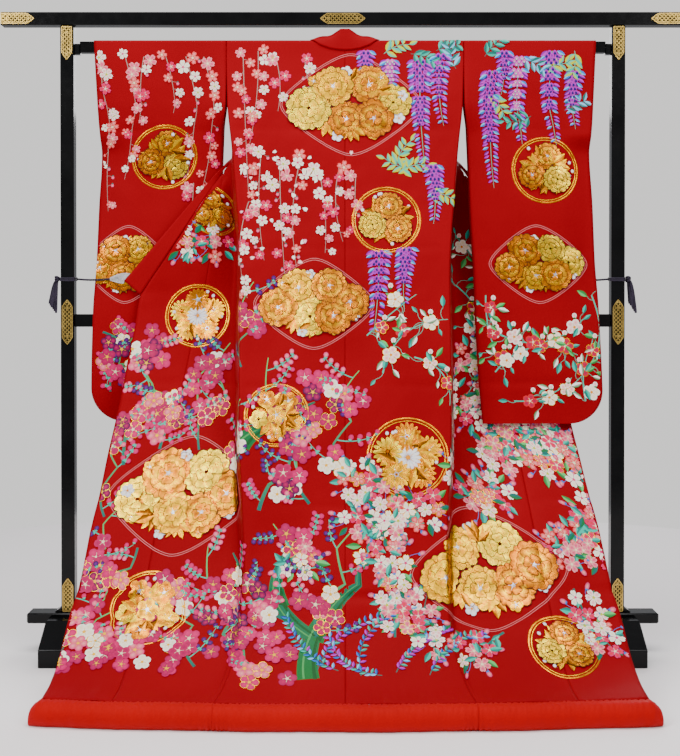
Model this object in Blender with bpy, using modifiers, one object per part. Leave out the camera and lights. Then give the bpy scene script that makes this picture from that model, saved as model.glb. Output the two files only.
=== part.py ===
"""Uchikake wedding kimono spread on a kimono stand, its back to the viewer.

Metres, +Z up. The origin is on the floor under the middle of the whole piece. "forward" is the
distance in front of the stand's posts, towards the viewer (-Y); "side" is the distance from the
garment's centre seam. The robe hangs over the stand's rod. Its back panels fall in the middle and
sweep forward to a padded hem roll on the floor, and its two fronts are drawn out like wings.
"""

import math
from collections import namedtuple

import bmesh
import bpy

# Driving sizes of the stand
POST_LINE_Y = 0.2631
POST_X = 0.737
POST_WIDE = 0.036
POST_DEEP = 0.037
BEAM_HALF_LENGTH = 0.914
BEAM_BOTTOM = 1.681
BEAM_TOP = 1.716
BEAM_DEEP = 0.038
ROD_BOTTOM = 1.609
ROD_TOP = 1.639
ROD_DEEP = 0.024
BRACKET_LONG = 0.015
BRACKET_LOWER = 0.006
MIDDLE_RAIL_BOTTOM = 0.875
MIDDLE_RAIL_TOP = 0.909
MIDDLE_RAIL_DEEP = 0.026
BASE_HALF_LENGTH = 0.845
BASE_BOTTOM = 0.0816
BASE_TOP = 0.1093
BASE_DEEP = 0.064
FOOT_WIDE = 0.094
FOOT_REACH = 0.173
FOOT_FLAT_REACH = 0.077
FOOT_TOP = 0.1005
FOOT_NOSE = 0.047
WEDGE_LONG = 0.016
WEDGE_TALL = 0.010
WOOD_EDGE = 0.0018
FIT_GAP = 0.0003

# Driving sizes of the gilt fittings
PLATE_WIDE = 0.029
PLATE_THICK = 0.0012
LONG_PLATE = 0.122
END_PLATE = 0.090
POINT_LONG = 0.020

# Driving sizes of the garment
GARMENT_X = 0.006
CLOTH = 0.002
COLLAR_THICK = 0.004
SEAM_HALF_GAP = 0.00015
COLLAR_GAP = 0.0009
COLLAR_TURN_GAP = 0.0011
COLLAR_START = 1.6225
FOLDED_SEAM_GAP = 0.0014
FOLD_START = 0.0019
FOLD_START_LOW = 0.0022
SHOULDER = ROD_TOP + FIT_GAP + CLOTH / 2
ROD_ROWS = (0.0, 0.0128, 0.0144, 0.0170, 0.024, 0.042)
NECK_HALF = 0.094
NECK_DROP = 0.027
BACK_COLUMNS = (0.0, 0.11, 0.21, 0.282, 0.2915, 0.2990, 0.42, 0.56, 0.70, 0.85, 1.0)
COLLAR_SLOPE = 0.6618
OKUMI_TOP = 1.294
OVERLAP_START = 1.285
COLLAR_END = 0.960
HEM_HEIGHT = 0.0543
SLEEVE_BOTTOM = 0.6228
SLEEVE_CORNER = 0.090
CUFF_BOTTOM = 1.390
ROLL_TALL = 0.053
ROLL_DEEP = 0.060
ROLL_HALF_LENGTH = 0.7055
ROLL_TIP_LONG = 0.026
ROLL_TIP_TALL = 0.45
ROLL_TIP_DEEP = 0.60
ROLL_FORWARD = 0.668
ROLL_BOW = 0.040
ROLL_SIDES = 12
FINE_STEP = 0.004
COLLAR_EDGE_TOP = (0.0715, 1.6043)
COLLAR_EDGE_END = (0.588, 0.998)

# Soft waves across the lower skirt: how deep, how close together, where they start
SKIRT_WAVES = ((0.0045, 15.0, 0.9), (0.0030, 37.0, 2.1))
SKIRT_WAVES_TOP = 0.95
SKIRT_WAVES_FADE = 0.16
SLEEVE_WAVE = (0.003, 19.0, 2.5)

# Driving sizes of the ties
TIE_HEIGHT = 1.003
TIE_RADIUS = 0.002
CORD_GAP_AT_CLIP = 0.0005
CORD_GAP_AT_BAND = 0.0016
CORD_SAG = 0.0025
CORD_POINTS = 11
BAND_THICK = 0.003
BAND_TALL = 0.010
CLIP_THICK = 0.004
CLIP_BEHIND = 0.003
KNOT_OUT = 0.0085
TAILS_FORWARD = 0.004

Line = namedtuple("Line", "height side forward")
Reach = namedtuple("Reach", "height amount")
Turn = namedtuple("Turn", "length fall share")
TailRow = namedtuple("TailRow", "drop out half_wide half_deep")
CollarRow = namedtuple(
    "CollarRow",
    "seam_side seam_height seam_forward edge_side edge_height edge_forward rise",
)

# Cloth turning down over an edge of the rod: share is how much of its forward distance it has
ROD_TURN = [
    Turn(0.0, 0.0, 0.0),
    Turn(0.0128, 0.0, 0.865),
    Turn(0.0144, 0.0008, 0.960),
    Turn(0.0170, 0.0033, 1.0),
]

# Centre back seam, from the shoulder down to the hem
CENTRE_BACK = [
    Line(1.6403, 0.0, 0.0148),
    Line(1.60, 0.0, 0.020),
    Line(1.40, 0.0, 0.060),
    Line(1.20, 0.0, 0.100),
    Line(1.00, 0.0, 0.150),
    Line(0.80, 0.0, 0.205),
    Line(0.60, 0.0, 0.270),
    Line(0.40, 0.0, 0.345),
    Line(0.30, 0.0, 0.395),
    Line(0.20, 0.0, 0.455),
    Line(0.154, 0.0, 0.500),
    Line(0.10, 0.0, 0.570),
    Line(0.07, 0.0, 0.618),
    Line(0.0543, 0.0, 0.660),
]

# Outer edge of a back panel: the armhole, the open slit, then the side seam
BACK_EDGE = [
    Line(1.6403, 0.3165, 0.0148),
    Line(1.60, 0.3165, 0.019),
    Line(1.48, 0.3130, 0.041),
    Line(1.33, 0.2960, 0.070),
    Line(1.24, 0.2870, 0.088),
    Line(1.00, 0.2700, 0.145),
    Line(0.815, 0.2690, 0.196),
    Line(0.61, 0.2640, 0.262),
    Line(0.40, 0.2500, 0.338),
    Line(0.27, 0.2420, 0.405),
    Line(0.154, 0.2500, 0.493),
    Line(0.10, 0.2650, 0.563),
    Line(0.07, 0.2790, 0.612),
    Line(0.0543, 0.2920, 0.655),
]

# Outer edge of a front panel above the side seam: the armhole behind the rod, then the open slit
FRONT_OPEN_EDGE = [
    Line(1.6403, 0.3165, -0.0148),
    Line(1.60, 0.3165, -0.018),
    Line(1.48, 0.3165, -0.020),
    Line(1.40, 0.3080, 0.020),
    Line(1.33, 0.2960, 0.070),
]

# Hollow of the deep fold in which a front panel turns back behind its side seam
FOLD_HOLLOW = [
    Line(1.6403, 0.205, -0.0148),
    Line(1.60, 0.215, -0.022),
    Line(1.48, 0.255, -0.055),
    Line(1.40, 0.287, -0.034),
    Line(1.35, 0.298, 0.014),
    Line(1.334, 0.300, 0.028),
    Line(1.294, 0.302, 0.030),
    Line(1.20, 0.297, 0.010),
    Line(1.13, 0.292, 0.006),
    Line(1.00, 0.288, 0.024),
    Line(0.92, 0.2875, 0.048),
    Line(0.80, 0.287, 0.084),
    Line(0.60, 0.282, 0.168),
    Line(0.40, 0.268, 0.280),
    Line(0.30, 0.259, 0.343),
    Line(0.20, 0.258, 0.415),
    Line(0.154, 0.264, 0.465),
    Line(0.10, 0.277, 0.546),
    Line(0.07, 0.288, 0.602),
    Line(0.0543, 0.297, 0.651),
]

# Seam between a front panel and its overlap strip; above the strip it is the collar seam
FRONT_SEAM = [
    Line(1.6403, 0.0940, -0.0148),
    Line(1.60, 0.1207, -0.020),
    Line(1.48, 0.2001, -0.032),
    Line(1.40, 0.2530, -0.026),
    Line(1.35, 0.2861, -0.006),
    Line(1.300, 0.3192, 0.010),
    Line(1.294, 0.3232, 0.012),
    Line(1.288, 0.3241, 0.014),
    Line(1.24, 0.3317, 0.028),
    Line(1.13, 0.3490, 0.035),
    Line(0.981, 0.3730, 0.035),
    Line(0.815, 0.4090, 0.067),
    Line(0.601, 0.4440, 0.148),
    Line(0.32, 0.4790, 0.300),
    Line(0.139, 0.5000, 0.470),
    Line(0.10, 0.5050, 0.530),
    Line(0.07, 0.5110, 0.592),
    Line(0.0543, 0.5200, 0.642),
]

# Free edge of the overlap strip; above the collar's end it is the collar seam
WING_EDGE = [
    Line(1.294, 0.3232, 0.012),
    Line(1.24, 0.3589, 0.029),
    Line(1.20, 0.3854, 0.033),
    Line(1.08, 0.4648, 0.035),
    Line(0.966, 0.5402, 0.036),
    Line(0.96, 0.5442, 0.037),
    Line(0.87, 0.5580, 0.050),
    Line(0.786, 0.5726, 0.076),
    Line(0.712, 0.5817, 0.105),
    Line(0.634, 0.5950, 0.135),
    Line(0.55, 0.6100, 0.168),
    Line(0.453, 0.6236, 0.210),
    Line(0.369, 0.6380, 0.255),
    Line(0.24, 0.6512, 0.345),
    Line(0.189, 0.6610, 0.400),
    Line(0.10, 0.6690, 0.505),
    Line(0.07, 0.6730, 0.570),
    Line(0.0543, 0.6790, 0.622),
]

# How far the right wing lies behind the left one, where it passes behind the right sleeve
RIGHT_TUCK = [
    Reach(1.48, 0.0),
    Reach(1.40, 0.012),
    Reach(1.294, 0.060),
    Reach(1.20, 0.060),
    Reach(1.00, 0.032),
    Reach(0.92, 0.026),
    Reach(0.87, 0.026),
    Reach(0.75, 0.045),
    Reach(0.61, 0.072),
    Reach(0.50, 0.045),
    Reach(0.40, 0.015),
    Reach(0.30, 0.0),
]

# Folded free edge of the collar, drawn straight from the neck to the clip
COLLAR_EDGE = [
    Reach(1.6043, -0.0250),
    Reach(1.48, -0.040),
    Reach(1.40, -0.064),
    Reach(1.35, -0.050),
    Reach(1.334, -0.036),
    Reach(1.303, 0.012),
    Reach(1.27, 0.027),
    Reach(1.20, 0.033),
    Reach(0.998, 0.034),
]

# Side edges of a sleeve
SLEEVE_INNER = [
    Reach(1.6403, 0.3172),
    Reach(1.48, 0.3172),
    Reach(1.40, 0.3250),
    Reach(1.16, 0.3340),
    Reach(1.04, 0.3415),
    Reach(0.894, 0.3460),
    Reach(0.763, 0.3510),
    Reach(0.6228, 0.3607),
]
SLEEVE_OUTER = [
    Reach(1.6403, 0.671),
    Reach(1.43, 0.660),
    Reach(1.34, 0.654),
    Reach(1.20, 0.661),
    Reach(1.05, 0.665),
    Reach(0.92, 0.673),
    Reach(0.70, 0.678),
    Reach(0.6228, 0.678),
]

# How far forward each layer of each sleeve hangs
SLEEVE_FALL = {
    ("right", "back"): [
        Reach(1.6403, 0.0148),
        Reach(1.60, 0.018),
        Reach(1.48, 0.024),
        Reach(1.30, 0.036),
        Reach(1.00, 0.056),
        Reach(0.75, 0.080),
        Reach(0.6228, 0.095),
    ],
    ("right", "front"): [
        Reach(1.6403, -0.0148),
        Reach(1.60, -0.017),
        Reach(1.48, -0.018),
        Reach(1.30, -0.008),
        Reach(1.00, 0.022),
        Reach(0.75, 0.062),
        Reach(0.6228, 0.0925),
    ],
    ("left", "back"): [
        Reach(1.6403, 0.0148),
        Reach(1.60, 0.016),
        Reach(1.48, 0.013),
        Reach(1.30, 0.003),
        Reach(1.00, 0.021),
        Reach(0.89, 0.0255),
        Reach(0.75, 0.025),
        Reach(0.6228, 0.0225),
    ],
    ("left", "front"): [
        Reach(1.6403, -0.0148),
        Reach(1.60, -0.018),
        Reach(1.48, -0.023),
        Reach(1.30, -0.024),
        Reach(1.00, 0.010),
        Reach(0.92, 0.0190),
        Reach(0.75, 0.0190),
        Reach(0.6228, 0.0200),
    ],
}

# Half of the standing collar: centre back first, then over the rod to the front of the garment
NECK_COLLAR = [
    CollarRow(0.000, 1.6138, 0.0196, 0.000, 1.6715, 0.0150, 0.0000),
    CollarRow(0.016, 1.6144, 0.0196, 0.011, 1.6715, 0.0145, 0.0005),
    CollarRow(0.040, 1.6185, 0.0192, 0.022, 1.6640, 0.0105, 0.0022),
    CollarRow(0.066, 1.6280, 0.0184, 0.033, 1.6570, 0.0030, 0.0045),
    CollarRow(0.086, 1.6415, 0.0150, 0.042, 1.6530, -0.0060, 0.0045),
    CollarRow(0.0925, 1.6440, 0.0000, 0.050, 1.6480, -0.0180, 0.0020),
    CollarRow(0.0940, 1.6400, -0.0165, 0.058, 1.6330, -0.0230, 0.0010),
    CollarRow(0.1030, 1.6240, -0.0200, 0.0700, 1.6060, -0.0250, 0.0),
]

# Outline of a fan-shaped clip, as side and height: its first and last points meet the collar
CLIP_OUTLINE = [
    (0.5892, 0.9905),
    (0.6060, 0.9925),
    (0.6260, 0.9990),
    (0.6260, 1.0070),
    (0.6060, 1.0160),
    (0.5880, 1.0195),
    (0.5718, 1.0180),
    (0.5888, 0.9978),
]
CLIP_FAR = 0.6260

# Sections of a bundle of ribbon tails under its knot, measured from the tie's height
TAILS = [
    TailRow(-0.009, 0.000, 0.0030, 0.0030),
    TailRow(-0.006, 0.000, 0.0065, 0.0060),
    TailRow(0.000, 0.000, 0.0080, 0.0075),
    TailRow(0.007, 0.001, 0.0060, 0.0055),
    TailRow(0.014, 0.003, 0.0060, 0.0045),
    TailRow(0.035, 0.008, 0.0100, 0.0050),
    TailRow(0.060, 0.011, 0.0120, 0.0050),
    TailRow(0.085, 0.012, 0.0120, 0.0045),
    TailRow(0.094, 0.016, 0.0070, 0.0040),
]

COLORS = {
    "red_silk": ((0.50, 0.012, 0.020, 1.0), 0.55, 0.0),
    "red_lining": ((0.60, 0.014, 0.016, 1.0), 0.50, 0.0),
    "lacquer": ((0.012, 0.012, 0.014, 1.0), 0.18, 0.0),
    "gilt": ((0.80, 0.58, 0.20, 1.0), 0.32, 1.0),
    "purple_cord": ((0.10, 0.07, 0.11, 1.0), 0.70, 0.0),
    "clear_clip": ((0.80, 0.80, 0.80, 1.0), 0.20, 0.0),
}


def clear_scene():
    for obj in list(bpy.data.objects):
        bpy.data.objects.remove(obj, do_unlink=True)


def make_materials():
    made = {}
    for name, (color, roughness, metallic) in COLORS.items():
        material = bpy.data.materials.new(name)
        material.use_nodes = True
        shader = material.node_tree.nodes["Principled BSDF"]
        shader.inputs["Base Color"].default_value = color
        shader.inputs["Roughness"].default_value = roughness
        shader.inputs["Metallic"].default_value = metallic
        made[name] = material
    return made


def slopes_of(heights, values):
    """Slopes of a smooth curve that never overshoots the values it passes through."""
    steps = []
    for low in range(len(heights) - 1):
        steps.append((values[low + 1] - values[low]) / (heights[low + 1] - heights[low]))
    slopes = [steps[0]]
    for before, after in zip(steps, steps[1:]):
        if before * after <= 0.0:
            slopes.append(0.0)
        else:
            slopes.append(2.0 * before * after / (before + after))
    slopes.append(steps[-1])
    return slopes


def read_curve(rows, column, height):
    """One column of a table at any height, as a smooth curve through its rows."""
    heights = [row.height for row in reversed(rows)]
    values = [getattr(row, column) for row in reversed(rows)]
    slopes = slopes_of(heights, values)
    height = min(max(height, heights[0]), heights[-1])
    low = 0
    while low < len(heights) - 2 and height > heights[low + 1]:
        low += 1
    span = heights[low + 1] - heights[low]
    t = (height - heights[low]) / span
    start = (1 + 2 * t) * (1 - t) ** 2 * values[low]
    start += t * (1 - t) ** 2 * span * slopes[low]
    end = t * t * (3 - 2 * t) * values[low + 1]
    end += t * t * (t - 1) * span * slopes[low + 1]
    return start + end


def ease(value):
    value = min(max(value, 0.0), 1.0)
    return value * value * (3 - 2 * value)


def rounded_turn(q, softness=0.16):
    """0 before 1, then rising one for one, with the corner rounded."""
    past = q - 1.0
    if past <= -softness:
        return 0.0
    if past >= softness:
        return past
    return (past + softness) ** 2 / (4 * softness)


def ripple(side, height):
    """Soft vertical waves in the lower skirt, flat again where the cloth meets the hem roll."""
    lower = ease(1.0 - height / SKIRT_WAVES_TOP)
    landing = ease((height - HEM_HEIGHT) / SKIRT_WAVES_FADE)
    wave = sum(deep * math.sin(rate * side + start) for deep, rate, start in SKIRT_WAVES)
    return lower * landing * wave


def drape_steps():
    """Pairs of the length of cloth below the shoulder and the height it has reached."""
    pairs = [(turn.length, SHOULDER - turn.fall) for turn in ROD_TURN]
    length, height = pairs[-1]
    forward = read_curve(CENTRE_BACK, "forward", height)
    while height > HEM_HEIGHT:
        lower = max(height - FINE_STEP, HEM_HEIGHT)
        ahead = read_curve(CENTRE_BACK, "forward", lower)
        length += math.hypot(height - lower, ahead - forward)
        height = lower
        forward = ahead
        pairs.append((length, height))
    return pairs


DRAPE = drape_steps()
CLOTH_LENGTH = DRAPE[-1][0]


def height_at(length):
    """Height of the cloth at a length below the shoulder."""
    for (length_a, height_a), (length_b, height_b) in zip(DRAPE, DRAPE[1:]):
        if length <= length_b:
            part = (length - length_a) / (length_b - length_a)
            return height_a + part * (height_b - height_a)
    return HEM_HEIGHT


def cloth_rows(count):
    """Lengths below the shoulder at which a grid has its rows, close together over the rod."""
    step = (CLOTH_LENGTH - ROD_ROWS[-1]) / count
    return list(ROD_ROWS) + [ROD_ROWS[-1] + step * (i + 1) for i in range(count)]


def wrapped(forward, length):
    """Forward distance of cloth that starts on top of the rod and turns down over its edge."""
    share = 1.0
    for before, after in zip(ROD_TURN, ROD_TURN[1:]):
        if before.length <= length < after.length:
            part = (length - before.length) / (after.length - before.length)
            share = before.share + (after.share - before.share) * part
    over_rod = forward * share
    return math.copysign(max(abs(over_rod), SEAM_HALF_GAP), over_rod or forward)


def place(hand, side, forward, height):
    return (GARMENT_X + hand * side, POST_LINE_Y - forward, height)


def tuck(hand, height):
    if hand < 0:
        return 0.0
    return read_curve(RIGHT_TUCK, "amount", height)


def neck_start(side):
    """Length of cloth cut away for the neck, below the shoulder line."""
    if side > NECK_HALF:
        return 0.0
    if side > NECK_HALF - 0.003:
        return ROD_TURN[1].length
    inside = max(0.0, 1.0 - (side / (NECK_HALF - 0.003)) ** 2)
    return ROD_TURN[-1].length + NECK_DROP * math.sqrt(inside)


def back_point(hand, across, length):
    """A point of a back panel: across 0 is the centre seam, length is cloth below the shoulder."""
    edge = read_curve(BACK_EDGE, "side", height_at(length))
    side = SEAM_HALF_GAP + (edge - SEAM_HALF_GAP) * across
    length = max(length, neck_start(side) + 0.12 * length)
    height = height_at(length)
    middle = read_curve(CENTRE_BACK, "forward", height)
    outer = read_curve(BACK_EDGE, "forward", height)
    forward = middle + (outer - middle) * across**3
    forward += ripple(hand * side, height)
    return place(hand, side, wrapped(forward, length), height)


def front_edge(column, height):
    """The outer edge of a front panel: its own down to the slit's end, then the side seam."""
    if height <= FRONT_OPEN_EDGE[-1].height:
        return read_curve(BACK_EDGE, column, height)
    return read_curve(FRONT_OPEN_EDGE, column, height)


def front_point(hand, across, length):
    """A point of a front panel: across 0 is the side seam, 1 the overlap strip's seam."""
    height = height_at(length)
    tucked = tuck(hand, height)
    start_side = front_edge("side", height)
    start_forward = front_edge("forward", height)
    hollow_side = read_curve(FOLD_HOLLOW, "side", height)
    hollow_forward = read_curve(FOLD_HOLLOW, "forward", height) - tucked
    end_side = read_curve(FRONT_SEAM, "side", height) - SEAM_HALF_GAP
    end_forward = read_curve(FRONT_SEAM, "forward", height) - tucked
    if height > OKUMI_TOP:
        end_side += 2 * SEAM_HALF_GAP
    depth = math.hypot(hollow_side - start_side, hollow_forward - start_forward)
    begin = FOLD_START + FOLD_START_LOW * ease((0.45 - height) / 0.35)
    first = min(begin / max(depth, begin), 1.0)
    q = first + (2.0 - first) * across
    turned = rounded_turn(q)
    stay = q - turned
    side = start_side + (hollow_side - start_side) * stay + (end_side - hollow_side) * turned
    forward = start_forward + (hollow_forward - start_forward) * stay
    forward += (end_forward - hollow_forward) * turned
    forward += ripple(hand * side, height)
    return place(hand, side, wrapped(forward, length), height)


def overlap_point(hand, across, length):
    """A point of the overlap strip: across 0 is its seam to the front, 1 its free edge."""
    height = height_at(length)
    tucked = tuck(hand, height)
    inner = read_curve(FRONT_SEAM, "side", height) + SEAM_HALF_GAP
    inner += FOLDED_SEAM_GAP * ease((height - 1.00) / 0.15)
    outer = read_curve(WING_EDGE, "side", height) - SEAM_HALF_GAP
    side = inner + (outer - inner) * across
    start = read_curve(FRONT_SEAM, "forward", height)
    end = read_curve(WING_EDGE, "forward", height)
    forward = start + (end - start) * across - tucked
    forward += ripple(hand * side, height)
    return place(hand, side, forward, height)


def length_at(height):
    """Length of cloth below the shoulder at which a height is reached."""
    for (length_a, height_a), (length_b, height_b) in zip(DRAPE, DRAPE[1:]):
        if height >= height_b:
            part = (height_a - height) / (height_a - height_b)
            return length_a + part * (length_b - length_a)
    return CLOTH_LENGTH


def collar_point(hand, across, seam_height):
    """A point of a front collar: across 0 is its seam at a height, 1 its folded free edge."""
    down = (COLLAR_START - seam_height) / (COLLAR_START - COLLAR_END)
    edge_side = COLLAR_EDGE_TOP[0] + (COLLAR_EDGE_END[0] - COLLAR_EDGE_TOP[0]) * down
    edge_height = COLLAR_EDGE_TOP[1] + (COLLAR_EDGE_END[1] - COLLAR_EDGE_TOP[1]) * down
    seam_side = NECK_HALF + COLLAR_SLOPE * (SHOULDER - seam_height)
    rows = FRONT_SEAM if seam_height > OKUMI_TOP else WING_EDGE
    seam_forward = read_curve(rows, "forward", seam_height) - tuck(hand, seam_height)
    edge_forward = read_curve(COLLAR_EDGE, "amount", edge_height) - tuck(hand, edge_height)
    seam = (seam_side, seam_forward, seam_height)
    edge = (edge_side, edge_forward, edge_height)
    wide = math.dist(seam, edge)
    turning = ease((seam_height - 1.25) / 0.04) * ease((1.50 - seam_height) / 0.04)
    gap = COLLAR_GAP + COLLAR_TURN_GAP * turning
    part = (gap + (wide - gap) * across) / wide
    side, forward, height = (a + (b - a) * part for a, b in zip(seam, edge))
    return place(hand, side, forward, height)


def neck_point(across, around):
    """A point of the standing collar: around -1 to 1 over the back of the neck."""
    hand = -1.0 if around < 0 else 1.0
    place_in_rows = abs(around) * (len(NECK_COLLAR) - 1)
    low = min(int(place_in_rows), len(NECK_COLLAR) - 2)
    part = place_in_rows - low
    first = NECK_COLLAR[low]
    second = NECK_COLLAR[low + 1]
    row = CollarRow(*(a + (b - a) * part for a, b in zip(first, second)))
    side = row.seam_side + (row.edge_side - row.seam_side) * across
    height = row.seam_height + (row.edge_height - row.seam_height) * across
    forward = row.seam_forward + (row.edge_forward - row.seam_forward) * across
    arch = row.rise * math.sin(math.pi * across)
    return place(hand, side, forward + 0.4 * arch, height + arch)


def sleeve_point(hand, layer, across, length):
    """A point of one sleeve layer: across 0 is the armhole side, 1 the cuff side."""
    name = "left" if hand < 0 else "right"
    height = height_at(length)
    inner = read_curve(SLEEVE_INNER, "amount", height)
    outer = read_curve(SLEEVE_OUTER, "amount", height)
    above_bottom = height - SLEEVE_BOTTOM
    if above_bottom < SLEEVE_CORNER:
        rise = SLEEVE_CORNER - above_bottom
        outer -= SLEEVE_CORNER - math.sqrt(max(SLEEVE_CORNER**2 - rise**2, 0.0))
    side = inner + (outer - inner) * across
    own = read_curve(SLEEVE_FALL[(name, layer)], "amount", height)
    other_layer = "front" if layer == "back" else "back"
    other = read_curve(SLEEVE_FALL[(name, other_layer)], "amount", height)
    body = read_curve(BACK_EDGE, "forward", height)
    if layer == "front":
        body = front_edge("forward", height)
    near_body = math.exp(-9.0 * across) * ease((height - 1.38) / 0.10)
    own += (body - own) * near_body
    middle = (own + other) / 2
    sewn_side = ease((CUFF_BOTTOM - height) / 0.05)
    from_cuff_edge = ease((outer - side) / 0.10)
    from_bottom = ease(above_bottom / 0.10)
    apart = (1.0 - sewn_side + sewn_side * from_cuff_edge) * from_bottom
    sign = 1.0 if layer == "back" else -1.0
    closest = sign * (CLOTH / 2 + SEAM_HALF_GAP)
    forward = middle + closest + (own - middle - closest) * apart
    if height > 1.60:
        forward = own
    deep, rate, lean = SLEEVE_WAVE
    forward += deep * math.sin(rate * side + lean * height) * ease((1.45 - height) / 0.4)
    return place(hand, side, wrapped(forward, length), height)


def sleeve_rows():
    """Rows of a sleeve: over the rod, evenly down, then round the bottom corner."""
    corner_length = length_at(SLEEVE_BOTTOM + SLEEVE_CORNER)
    count = 13
    span = corner_length - ROD_ROWS[-1]
    rows = list(ROD_ROWS) + [ROD_ROWS[-1] + span * (i + 1) / count for i in range(count)]
    for angle in (20, 40, 58, 74, 90):
        height = SLEEVE_BOTTOM + SLEEVE_CORNER * (1.0 - math.sin(math.radians(angle)))
        rows.append(length_at(height))
    return rows


def evenly(count):
    return [i / count for i in range(count + 1)]


def cloth(name, columns, rows, point, thickness, material, collection):
    """A wall of cloth: a grid laid on the points of a function, then thickened both ways."""
    mesh = bpy.data.meshes.new(name)
    grid = bmesh.new()
    across_count = len(columns) - 1
    row_count = len(rows) - 1
    bmesh.ops.create_grid(grid, x_segments=across_count, y_segments=row_count, size=1.0)
    for vertex in grid.verts:
        column = round((vertex.co.x + 1.0) / 2.0 * across_count)
        row = round((vertex.co.y + 1.0) / 2.0 * row_count)
        vertex.co = point(columns[column], rows[row])
    grid.to_mesh(mesh)
    grid.free()
    obj = bpy.data.objects.new(name, mesh)
    collection.objects.link(obj)
    solid = obj.modifiers.new("wall", "SOLIDIFY")
    solid.thickness = thickness
    solid.offset = 0.0
    mesh.materials.append(material)
    mesh.shade_smooth()
    return obj


def block(name, low, high, edge, material, collection):
    """A squared timber between two corners, with its edges eased."""
    mesh = bpy.data.meshes.new(name)
    cube = bmesh.new()
    bmesh.ops.create_cube(cube, size=1.0)
    centre = [(a + b) / 2 for a, b in zip(low, high)]
    for vertex in cube.verts:
        for axis in range(3):
            vertex.co[axis] *= high[axis] - low[axis]
    cube.to_mesh(mesh)
    cube.free()
    obj = bpy.data.objects.new(name, mesh)
    obj.location = centre
    collection.objects.link(obj)
    bevel = obj.modifiers.new("eased edge", "BEVEL")
    bevel.width = edge
    bevel.segments = 1
    mesh.materials.append(material)
    return obj


def outline_plate(name, outline, thickness, material, collection):
    """A flat outline in the XY plane of its own object, thickened both ways."""
    curve = bpy.data.curves.new(name, "CURVE")
    curve.dimensions = "2D"
    curve.fill_mode = "BOTH"
    curve.extrude = thickness / 2
    spline = curve.splines.new("POLY")
    spline.points.add(len(outline) - 1)
    for point, (x, y) in zip(spline.points, outline):
        point.co = (x, y, 0.0, 1.0)
    spline.use_cyclic_u = True
    obj = bpy.data.objects.new(name, curve)
    collection.objects.link(obj)
    weld = obj.modifiers.new("caps", "WELD")
    weld.merge_threshold = 0.0001
    curve.materials.append(material)
    return obj


def loft(name, rings, material, collection):
    """A closed body through rings of points with the same number of points in each."""
    mesh = bpy.data.meshes.new(name)
    body = bmesh.new()
    made = [[body.verts.new(point) for point in ring] for ring in rings]
    sides = len(made[0])
    for low, high in zip(made, made[1:]):
        for i in range(sides):
            j = (i + 1) % sides
            body.faces.new((low[i], low[j], high[j], high[i]))
    body.faces.new(tuple(reversed(made[0])))
    body.faces.new(tuple(made[-1]))
    bmesh.ops.recalc_face_normals(body, faces=body.faces)
    body.to_mesh(mesh)
    body.free()
    obj = bpy.data.objects.new(name, mesh)
    collection.objects.link(obj)
    mesh.materials.append(material)
    mesh.shade_smooth()
    return obj


def roll_line(x):
    """Forward distance of the hem roll's middle line at a place across the garment."""
    across = x / ROLL_HALF_LENGTH
    return ROLL_FORWARD - ROLL_BOW * across**2 + 0.002 * math.sin(21.0 * x)


def roll_ring(x):
    """One section of the hem roll: round above, flat where it lies on the floor."""
    tip = math.sqrt(min((ROLL_HALF_LENGTH - abs(x)) / ROLL_TIP_LONG, 1.0))
    gather = 1.0 + 0.035 * math.sin(83.0 * x) + 0.02 * math.sin(197.0 * x)
    tall = ROLL_TALL * (ROLL_TIP_TALL + (1.0 - ROLL_TIP_TALL) * tip)
    deep = ROLL_DEEP * (ROLL_TIP_DEEP + (1.0 - ROLL_TIP_DEEP) * tip) * gather
    ring = []
    for step in range(ROLL_SIDES):
        angle = 2 * math.pi * (step + 0.5) / ROLL_SIDES
        y = math.cos(angle) * deep / 2
        z = tall * (0.5 + 0.56 * math.sin(angle))
        z = min(max(z, 0.0), tall)
        ring.append((GARMENT_X + x, POST_LINE_Y - roll_line(x) + y, z))
    return ring


def make_garment(materials, collection):
    silk = materials["red_silk"]
    body_rows = cloth_rows(31)
    overlap_start = length_at(OVERLAP_START)
    overlap_rows = [overlap_start] + [row for row in body_rows if row > overlap_start + 0.01]
    collar_heights = [COLLAR_START]
    for row in body_rows:
        if COLLAR_START - 0.01 > height_at(row) > COLLAR_END + 0.01:
            collar_heights.append(height_at(row))
    collar_heights.append(COLLAR_END)
    around_rows = [i / 14 - 1.0 for i in range(29)]
    for hand, name in ((-1.0, "left"), (1.0, "right")):
        cloth(
            f"body_{name}_back", BACK_COLUMNS, body_rows,
            lambda across, length, hand=hand: back_point(hand, across, length),
            CLOTH, silk, collection,
        )
        cloth(
            f"body_{name}_front", evenly(11), body_rows,
            lambda across, length, hand=hand: front_point(hand, across, length),
            CLOTH, silk, collection,
        )
        cloth(
            f"overlap_{name}", evenly(4), overlap_rows,
            lambda across, length, hand=hand: overlap_point(hand, across, length),
            CLOTH, silk, collection,
        )
        cloth(
            f"collar_{name}", evenly(3), collar_heights,
            lambda across, height, hand=hand: collar_point(hand, across, height),
            COLLAR_THICK, silk, collection,
        )
        for layer in ("back", "front"):
            cloth(
                f"sleeve_{name}_{layer}", evenly(8), sleeve_rows(),
                lambda across, length, hand=hand, layer=layer: sleeve_point(
                    hand, layer, across, length
                ),
                CLOTH, silk, collection,
            )
    cloth("collar_neck", evenly(4), around_rows, neck_point, COLLAR_THICK, silk, collection)


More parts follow.
